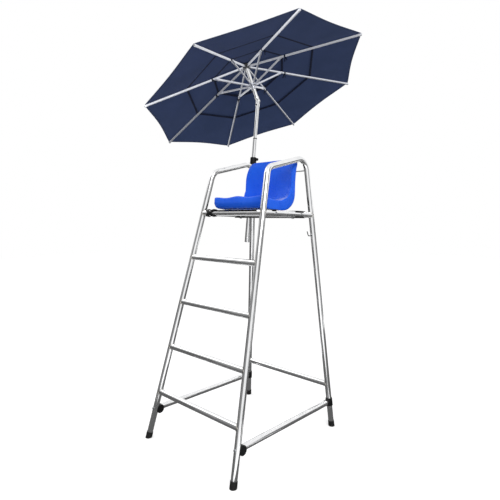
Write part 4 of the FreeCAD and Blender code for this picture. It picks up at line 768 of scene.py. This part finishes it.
class OBJECT_OT_chair_seat(bpy.types.Operator):
    """Makes the moulded bucket seat"""
    bl_idname = "object.chair_seat"
    bl_label = "Bucket seat"

    def execute(self, context):
        work = bmesh.new()
        rings = []
        for share in [-share for share in SEAT_SHARES[:0:-1]] + list(SEAT_SHARES):
            outline = smooth_loop(seat_section(abs(share), side_fullness(abs(share))), SECTION_RUNS)
            x = share * context.scene.chair_seat.half_width
            rings.append([work.verts.new(seat_place(x, y, max(z, 0.0))) for y, z in outline])
        count = len(rings[0])
        for one, other in zip(rings, rings[1:]):
            for i in range(count):
                work.faces.new((one[i], one[(i + 1) % count], other[(i + 1) % count], other[i]))
        close_side(work, rings[0])
        close_side(work, rings[-1])
        bmesh.ops.recalc_face_normals(work, faces=work.faces)
        seat = smooth_piece("bucket_seat", work)
        round_off = seat.modifiers.new("smooth", "SUBSURF")
        round_off.levels = 1
        round_off.render_levels = 1
        dress(seat, "blue_plastic")
        # The armrests don't mirror the seat, which would turn them blue
        seat.visible_glossy = False
        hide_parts("seat_shell")
        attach(seat, "chair_frame")
        return {"FINISHED"}


# Canopy

# Where the two vents are, as shares of the reach: the tier below starts and the tier above ends
LOWER_VENT = (0.60, 0.645)
UPPER_VENT = (0.33, 0.385)
# Neighbouring panels lap over each other by a hair, in width and in height, so that no light shows between
OVERLAP = 1.003
LAP = 0.00006
# Seventeen places from half-way to the rib on one side to half-way to the rib on the other
ACROSS = [j / 8 - 1 for j in range(17)]
# Rows of faces from the inner to the outer edge of each tier
TIER_ROWS = {"lower": 12, "middle": 8, "top": 8}
# Hems by their tier, whether they lie at its outer edge, their finish, and where their stitch lines run,
# as shares of the hem from the edge
HEMS = (("lower", True, "hem", (0.2, 0.8)), ("lower", False, "trim", (0.8,)),
        ("middle", True, "hem", (0.8,)), ("middle", False, "trim", (0.8,)),
        ("top", True, "hem", (0.2, 0.8)))
# Stitches by their piece, the tier that carries it and the tiers that it sews
STITCHES = (("canopy_stitches_%d", "lower", ("lower", "middle")),
            ("canopy_top_stitches_%d", "top", ("top",)))
# Length of a stitch as a share of its pitch
STITCH_SHARE = 0.6
# Share of the half panel that the seam over a rib, and the stitches beside it, may take up near the crown
SEAM_LIMIT = 0.95
STITCH_LIMIT = 0.9
# Share of the reach over which the top tier bends from the pole into a rib
BEND_SHARE = 0.3


def canopy_tiers():
    """Each tier as its inner edge, its outer edge and how far its outer edge draws in between the ribs."""
    sizes = bpy.context.scene.chair_canopy
    reach, low, gap = sizes.reach, sizes.lift, sizes.vent
    return {"lower": ((reach * LOWER_VENT[0], low), (reach + sizes.past_tip, low), sizes.scallop),
            "middle": ((reach * UPPER_VENT[0], low), (reach * LOWER_VENT[1], low + gap), 0.0),
            "top": ((sizes.crown, low + 2 * gap), (reach * UPPER_VENT[1], low + 1.6 * gap), 0.0)}


def rib_axes(number):
    """Outward and sideways directions of a rib, square to the canopy's axis."""
    outward = joint_point("rib_%d_fold" % number) - RING_CENTRE
    outward = (outward - CANOPY_UP * outward.dot(CANOPY_UP)).normalized()
    return outward, CANOPY_UP.cross(outward)


def spread(start, end, steps):
    return [start + (end - start) * i / steps for i in range(steps + 1)]


def tier_at(tier, along):
    """Radius, lift, scallop and sag of a tier at a share of the way from its inner to its outer edge."""
    (inner, low), (outer, high), scallop = tier
    return (inner + (outer - inner) * along, low + (high - low) * along, scallop * along,
            bpy.context.scene.chair_canopy.sag * math.sin(math.pi * along))


def cloth_point(number, tier, along, share):
    """A point on the cloth over a rib: share runs from -1 to 1, half-way to the ribs on both sides."""
    sizes = bpy.context.scene.chair_canopy
    radius, lift, scallop, sag = tier_at(tier, along)
    outward, sideways = rib_axes(number)
    slope = sizes.drop / sizes.reach
    hub = RING_CENTRE + CANOPY_UP * (slope * sizes.ring)
    half = math.pi / RIBS
    t = abs(share)
    run = radius - scallop * math.sin(t * math.pi / 2) ** 1.4
    middle = run * math.cos(half)
    x = run + (middle * math.cos(half) - run) * t
    y = middle * math.sin(half) * t * (1 if share > 0 else -1)
    sink = sag * math.sin(t * math.pi / 2)
    return hub + outward * x + sideways * y + CANOPY_UP * (lift + LAP * (number % 2) - slope * run - sink)


def share_of(tier, along, sideways):
    """The share of the way to the next rib that is so many metres beside this one."""
    return sideways / (tier_at(tier, along)[0] * math.cos(math.pi / RIBS) * math.sin(math.pi / RIBS))


def places_across(tier, along, half_width):
    """Places across a whole panel, or across a strip over the rib that is given by half its width."""
    if half_width is None:
        return [share * OVERLAP for share in ACROSS]
    edge = min(share_of(tier, along, half_width), SEAM_LIMIT)
    return [edge * side for side in (-1, -0.5, 0, 0.5, 1)]


def cloth_grid(name, number, tier, alongs, half_width=None):
    """Part of a tier as an open grid, with its flat size in metres as UVs."""
    work = bmesh.new()
    uv = work.loops.layers.uv.new("cloth")
    grid, flat = [], []
    for along in alongs:
        places = places_across(tier, along, half_width)
        radius = tier_at(tier, along)[0]
        grid.append([work.verts.new(cloth_point(number, tier, along, share)) for share in places])
        flat.append([(radius * math.tan(math.pi / RIBS) * share, radius) for share in places])
    for i in range(len(grid) - 1):
        for j in range(len(grid[0]) - 1):
            corners = ((i, j), (i + 1, j), (i + 1, j + 1), (i, j + 1))
            face = work.faces.new([grid[r][c] for r, c in corners])
            for loop, (r, c) in zip(face.loops, corners):
                loop[uv].uv = flat[r][c]
    # The sheet's own edges stay sharp once it has its thickness
    for edge in work.edges:
        edge.smooth = len(edge.link_faces) == 2
    return smooth_piece(name, work)


def clothed(piece, finish, thickness):
    """Gives an open sheet its finish and its thickness, half to each side."""
    dress(piece, finish)
    solid = piece.modifiers.new("thickness", "SOLIDIFY")
    solid.thickness = thickness
    solid.offset = 0
    return piece


def hem_alongs(tier, at_outer_edge):
    """The span of a tier, as shares of its run, that its hem covers at one edge."""
    width = bpy.context.scene.chair_canopy.hem / (tier[1][0] - tier[0][0])
    return [1 - width, 1 - width / 2, 1.0] if at_outer_edge else [0.0, width / 2, width]


def stitch_lines(number, tiers):
    """The lines that the stitches follow on some tiers of the cloth over one rib."""
    beside = bpy.context.scene.chair_canopy.seam_stitches
    lines = []
    for name, outer, _, places in HEMS:
        if name in tiers:
            start, _, end = hem_alongs(tiers[name], outer)
            for place in places:
                at = start + (end - start) * (1 - place if outer else place)
                lines.append([cloth_point(number, tiers[name], at, share) for share in ACROSS])
    for tier in tiers.values():
        sewn = [along for along in spread(0.02, 0.98, 12) if share_of(tier, along, beside) < STITCH_LIMIT]
        for side in (-1, 1):
            lines.append([cloth_point(number, tier, along, side * share_of(tier, along, beside))
                          for along in sewn])
    return lines


def stitch_tree():
    """Short stitches set along the lines, lying along them and flat on the cloth."""
    tree, given = node_group("stitches", ["Pitch", "Stitch length", "Thread", "Height"])
    line = add(tree, "GeometryNodeMeshToCurve", {"Mesh": given.outputs["Lines"]})
    spots = add(tree, "GeometryNodeCurveToPoints", {"Curve": line, "Length": given.outputs["Pitch"]},
                mode="LENGTH")
    along = add(tree, "FunctionNodeAlignRotationToVector", {"Vector": spots.outputs["Tangent"]}, axis="X")
    flat = add(tree, "FunctionNodeAlignRotationToVector", {"Rotation": along, "Vector": tuple(CANOPY_UP)},
               axis="Z", pivot_axis="X")
    size = add(tree, "ShaderNodeCombineXYZ", {"X": given.outputs["Stitch length"],
                                              "Y": given.outputs["Thread"], "Z": given.outputs["Height"]})
    stitch = add(tree, "GeometryNodeMeshCube", {"Size": size})
    placed = add(tree, "GeometryNodeInstanceOnPoints",
                 {"Points": spots, "Instance": stitch, "Rotation": flat})
    return finished_tree(tree, placed, "thread")


def cloth_tie(number):
    """A tape round the rib, knotted at its side, with two short ends that hang down."""
    # From the rib's middle line to the middles of the tape's corners, and their radius
    wide, high, corner_radius = 0.0032, 0.0047, 0.0025
    # Widths of the tape and of its two ends, which lean along the rib and hang down by so much
    tape, loose_tape = 0.012, 0.008
    loose_ends = ((-0.35, 0.030), (0.40, 0.024))
    # The knot's place beside and below the middle line, and its half sizes along, beside and up
    beside, below = 0.0085, 0.003
    knot_size = (0.0055, 0.0035, 0.0050)
    sizes = bpy.context.scene.chair_canopy
    outward, sideways = rib_axes(number)
    slope = sizes.drop / sizes.reach
    along = (outward - CANOPY_UP * slope).normalized()
    up = sideways.cross(along)
    up *= math.copysign(1, up.dot(CANOPY_UP))
    centre = (RING_CENTRE + outward * sizes.tie_place
              + CANOPY_UP * (slope * sizes.ring - slope * sizes.tie_place))
    work = bmesh.new()

    def strip(line, width):
        rows = [[work.verts.new(point + along * (width * k / 2)) for k in (-1, 0, 1)] for point in line]
        for one, other in zip(rows, rows[1:]):
            for k in (0, 1):
                work.faces.new((one[k], other[k], other[k + 1], one[k + 1]))

    ring = []
    for turn, (x, z) in enumerate(((wide, high), (-wide, high), (-wide, -high), (wide, -high))):
        for angle in (0, 30, 60, 90):
            bend = math.radians(90 * turn + angle)
            ring.append(centre + sideways * (x + corner_radius * math.cos(bend))
                        + up * (z + corner_radius * math.sin(bend)))
    strip(ring + ring[:1], tape)
    knot = centre + sideways * beside - up * below
    for lean, hang in loose_ends:
        strip([knot + (along * lean + sideways * 0.35 - up * (0.6 + 0.4 * t)) * (hang * t)
               for t in spread(0, 1, 5)], loose_tape)
    bmesh.ops.remove_doubles(work, verts=work.verts, dist=0.00001)
    for vert in bmesh.ops.create_uvsphere(work, u_segments=12, v_segments=8, radius=1.0)["verts"]:
        ball = [part * size for part, size in zip(vert.co, knot_size)]
        vert.co = knot + along * ball[0] + sideways * ball[1] + up * ball[2]
    return clothed(smooth_piece("cloth_tie_%d" % number, work), "trim", sizes.thickness)


def canopy_trims(number, tiers, stitches):
    """The tie, stitches, hems and seams over one rib, under the name of the tier that carries them."""
    sizes = bpy.context.scene.chair_canopy
    trims = {"lower": [], "middle": [cloth_tie(number)], "top": []}
    for name, carrier, sewn in STITCHES:
        lines = stitch_lines(number, {tier: tiers[tier] for tier in sewn})
        trims[carrier].append(shaped(name % number, line_mesh("stitch_lines", lines, False), stitches,
                                     {"Pitch": sizes.stitch, "Stitch length": sizes.stitch * STITCH_SHARE,
                                      "Thread": sizes.thread_width, "Height": sizes.thread_height}))
    for name, outer, finish, _ in HEMS:
        hem = cloth_grid("canopy_%s_%s_hem_%d" % (name, "outer" if outer else "inner", number), number,
                         tiers[name], hem_alongs(tiers[name], outer))
        trims[name].append(clothed(hem, finish, sizes.hem_thickness))
    for name, tier in tiers.items():
        seam = cloth_grid("canopy_%s_seam_%d" % (name, number), number, tier, spread(0.01, 0.99, 8),
                          sizes.seam)
        trims[name].append(clothed(seam, "hem", sizes.seam_thickness))
    return trims


def follow_rib(piece, name, number):
    """Bends the top tier from the pole into the rib. Those below ride on the rib."""
    outward, sideways = rib_axes(number)
    fold = JOINTS["rib_%d_fold" % number]
    if name == "top":
        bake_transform(piece, fold["parent"], fold["child"], start=RING_CENTRE,
                 end=RING_CENTRE + outward * bpy.context.scene.chair_canopy.reach * BEND_SHARE)
        return
    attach(piece, fold["child"])
    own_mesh(piece)


class OBJECT_OT_chair_canopy(bpy.types.Operator):
    """Makes the canopy in three tiers, one panel over each rib, with hems, seams, stitches and ties"""
    bl_idname = "object.chair_canopy"
    bl_label = "Canopy"

    def execute(self, context):
        tiers = canopy_tiers()
        stitches = stitch_tree()
        for k in range(1, RIBS + 1):
            trims = canopy_trims(k, tiers, stitches)
            for name, tier in tiers.items():
                panel = cloth_grid("canopy_%s_%d" % (name, k), k, tier, spread(0, 1, TIER_ROWS[name]))
                clothed(panel, "navy_cloth", context.scene.chair_canopy.thickness)
                for piece in [panel] + trims[name]:
                    # The poles and bars don't mirror the cloth, which would turn them blue
                    piece.visible_glossy = False
                    follow_rib(piece, name, k)
                if name == "lower":
                    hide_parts("canopy_gore_%d" % k)
        return {"FINISHED"}


# Stage

# Grey cards by their ends in degrees from the camera, their edges as (radius, height) in metres and their
# brightness: five that stand and three that lie on the floor
CARDS = (
    ("card_far_left", -140, -84, (6.0, 0.01), (6.0, 4.4), 0.52),
    ("card_left", -84, -25, (6.0, 0.01), (6.0, 7.0), 0.26),
    ("card_right", 46, 81, (6.0, 0.01), (6.0, 7.0), 0.32),
    ("card_back", 84, 165, (6.0, 0.01), (6.0, 2.0), 0.16),
    ("card_horizon_left", -145, -84, (5.9, 0.01), (5.9, 1.7), 0.09),
    ("card_low_back", 62, 190, (0.3, 0.003), (4.8, 0.003), 0.13),
    ("card_low_left", -145, -25, (1.0, 0.003), (5.9, 0.003), 0.14),
    ("card_low_right", 34, 62, (1.0, 0.003), (5.9, 0.003), 0.2))
CARD_STEPS = 24
# The round card that lies below the ladder, and where its middle is from the middle of the base
LADDER_CARD = ("card_low_front", 0, 360, (0.01, 0.003), (0.95, 0.003), 0.13)
LADDER_CARD_MIDDLE = (-0.05, -0.45)
# Lamps by their place from the middle of the base, their size in metres and their power in watts
LAMPS = (("key", (3.5, -2.0, 4.6), 3.0, 105), ("fill", (-3.6, -1.2, 4.4), 2.5, 25))
LAMP_TARGET = Vector((0, 0, 1.4))
FLOOR_HALF = 14.0
# How brightly the white room lights the object, and how far the floor glows to the eye
ROOM_LIGHT = 0.75
FLOOR_GLOW = 0.32


def seen_ray(tree):
    """1 for a ray from the camera, a mirror or a glass, and 0 for one that only lights the object."""
    rays = add(tree, "ShaderNodeLightPath").outputs
    seen = rays["Is Camera Ray"]
    for kind in ("Is Glossy Ray", "Is Transmission Ray"):
        seen = add(tree, "ShaderNodeMath", {0: seen, 1: rays[kind]}, operation="MAXIMUM")
    return seen


def studio_floor_finish():
    # Matt painted studio floor: white to the eye, and grey to the light that it throws back
    material, tree = bare_material("matt studio floor")
    thrown = add(tree, "ShaderNodeBsdfDiffuse", {"Color": linear("#C0C0C0")})
    lit = add(tree, "ShaderNodeBsdfDiffuse", {"Color": linear(bpy.context.scene.chair_stage.floor)})
    glow = add(tree, "ShaderNodeEmission", {"Color": (1, 1, 1, 1), "Strength": FLOOR_GLOW})
    shown = add(tree, "ShaderNodeAddShader", {0: lit, 1: glow})
    both = add(tree, "ShaderNodeMixShader", {0: seen_ray(tree), 1: thrown, 2: shown})
    add(tree, "ShaderNodeOutputMaterial", {"Surface": both})
    return material


def white_studio():
    """A room that is white to the eye and lights the object a little less."""
    world = bpy.data.worlds.new("white studio")
    world.use_nodes = True
    tree = world.node_tree
    tree.nodes.clear()
    strength = add(tree, "ShaderNodeMapRange", {"Value": seen_ray(tree), "To Min": ROOM_LIGHT,
                                                "To Max": 1.0})
    light = add(tree, "ShaderNodeBackground", {"Color": (1, 1, 1, 1), "Strength": strength})
    add(tree, "ShaderNodeOutputWorld", {"Surface": light})
    return world


def grey_card(name, points, faces, brightness):
    """A grey card that only polished surfaces see, as a photographer sets beside bright metal."""
    card = plain_piece(name, points, faces)
    grey, tree = bare_material(name + " grey")
    light = add(tree, "ShaderNodeEmission", {"Color": (brightness, brightness, brightness, 1.0)})
    add(tree, "ShaderNodeOutputMaterial", {"Surface": light})
    card.data.materials.append(grey)
    for kind in ("camera", "diffuse", "transmission", "shadow"):
        setattr(card, "visible_" + kind, False)


def round_card(name, start, end, near, far, brightness, view=0.0, middle=(0.0, 0.0)):
    """A card that runs round the base between two angles, which are counted from a view."""
    centre = BASE_CENTRE + Vector((*middle, 0))
    points = [(centre.x + radius * math.cos(angle), centre.y + radius * math.sin(angle), height)
              for angle in spread(math.radians(view + start), math.radians(view + end), CARD_STEPS)
              for radius, height in (near, far)]
    faces = [(2 * i, 2 * i + 2, 2 * i + 3, 2 * i + 1) for i in range(CARD_STEPS)]
    grey_card(name, points, faces, brightness)


def card_under_seat():
    """A nearly black card at the underside of the seat, for what the bars below it mirror: painted shade,
    standing in for the seat's shaded underside, which mirrors don't see.
    """
    above_bar, ahead_of_lip, brightness = 0.035, 0.085, 0.01
    seat = bpy.context.scene.chair_seat
    lip = seat.support - seat.overhang
    height = bpy.context.scene.chair_frame.seat_bar + above_bar
    corners = [BASE_CENTRE + Vector((x, y, height)) for y in (lip - ahead_of_lip, lip + seat.depth)
               for x in (-seat.half_width, seat.half_width)]
    grey_card("card_under_seat", corners, [(0, 1, 3, 2)], brightness)


def facing(name, data, place, target):
    """A lamp or camera that faces a point, with both places counted from the middle of the base."""
    made = linked(name, data)
    made.location = BASE_CENTRE + Vector(place)
    aim = BASE_CENTRE + Vector(target) - made.location
    made.rotation_euler = aim.to_track_quat("-Z", "Y").to_euler()
    return made


class OBJECT_OT_chair_stage(bpy.types.Operator):
    """Sets up the floor, the lamps and the camera"""
    bl_idname = "object.chair_stage"
    bl_label = "Stage"

    def execute(self, context):
        sizes = context.scene.chair_stage
        corners = [(x * FLOOR_HALF, y * FLOOR_HALF, 0) for x, y in ((-1, -1), (1, -1), (1, 1), (-1, 1))]
        floor = plain_piece("studio_floor", corners, [(0, 1, 2, 3)])
        floor.data.materials.append(studio_floor_finish())
        context.scene.world = white_studio()
        view = math.degrees(math.atan2(sizes.camera_place[1], sizes.camera_place[0]))
        for card in CARDS:
            round_card(*card, view=view)
        round_card(*LADDER_CARD, middle=LADDER_CARD_MIDDLE)
        card_under_seat()
        for name, place, size, power in LAMPS:
            lamp = bpy.data.lights.new(name, "AREA")
            lamp.size = size
            lamp.energy = power
            facing(name, lamp, place, LAMP_TARGET)
        lens = bpy.data.cameras.new("camera")
        lens.sensor_width = 36
        lens.lens = sizes.lens
        context.scene.camera = facing("camera", lens, sizes.camera_place, sizes.camera_target)
        context.scene.view_settings.view_transform = "Standard"
        return {"FINISHED"}


GROUPS = {"chair_frame": FrameSizes, "chair_seat": SeatSizes, "chair_canopy": CanopySizes,
          "chair_stage": StageSizes}
STEPS = [OBJECT_OT_chair_stage, OBJECT_OT_chair_tubes, OBJECT_OT_chair_small_parts,
         OBJECT_OT_chair_umbrella_frame, OBJECT_OT_chair_seat, OBJECT_OT_chair_canopy]


class VIEW3D_PT_lifeguard_chair(bpy.types.Panel):
    """Lists the sizes, the colours and the steps of the chair"""
    bl_label = "Lifeguard chair"
    bl_space_type = "VIEW_3D"
    bl_region_type = "UI"
    bl_category = "Lifeguard chair"

    def draw(self, context):
        for group, kind in GROUPS.items():
            box = self.layout.box()
            for name in kind.__annotations__:
                box.prop(getattr(context.scene, group), name)
        for step in STEPS:
            self.layout.operator(step.bl_idname)


CLASSES = list(GROUPS.values()) + STEPS + [VIEW3D_PT_lifeguard_chair]


def register():
    for item in CLASSES:
        bpy.utils.register_class(item)
    for group, kind in GROUPS.items():
        setattr(bpy.types.Scene, group, bpy.props.PointerProperty(type=kind))


def unregister():
    for group in GROUPS:
        delattr(bpy.types.Scene, group)
    for item in reversed(CLASSES):
        bpy.utils.unregister_class(item)


def main():
    register()
    for step in STEPS:
        group, name = step.bl_idname.split(".")
        getattr(getattr(bpy.ops, group), name)()


if __name__ == "__main__":
    main()
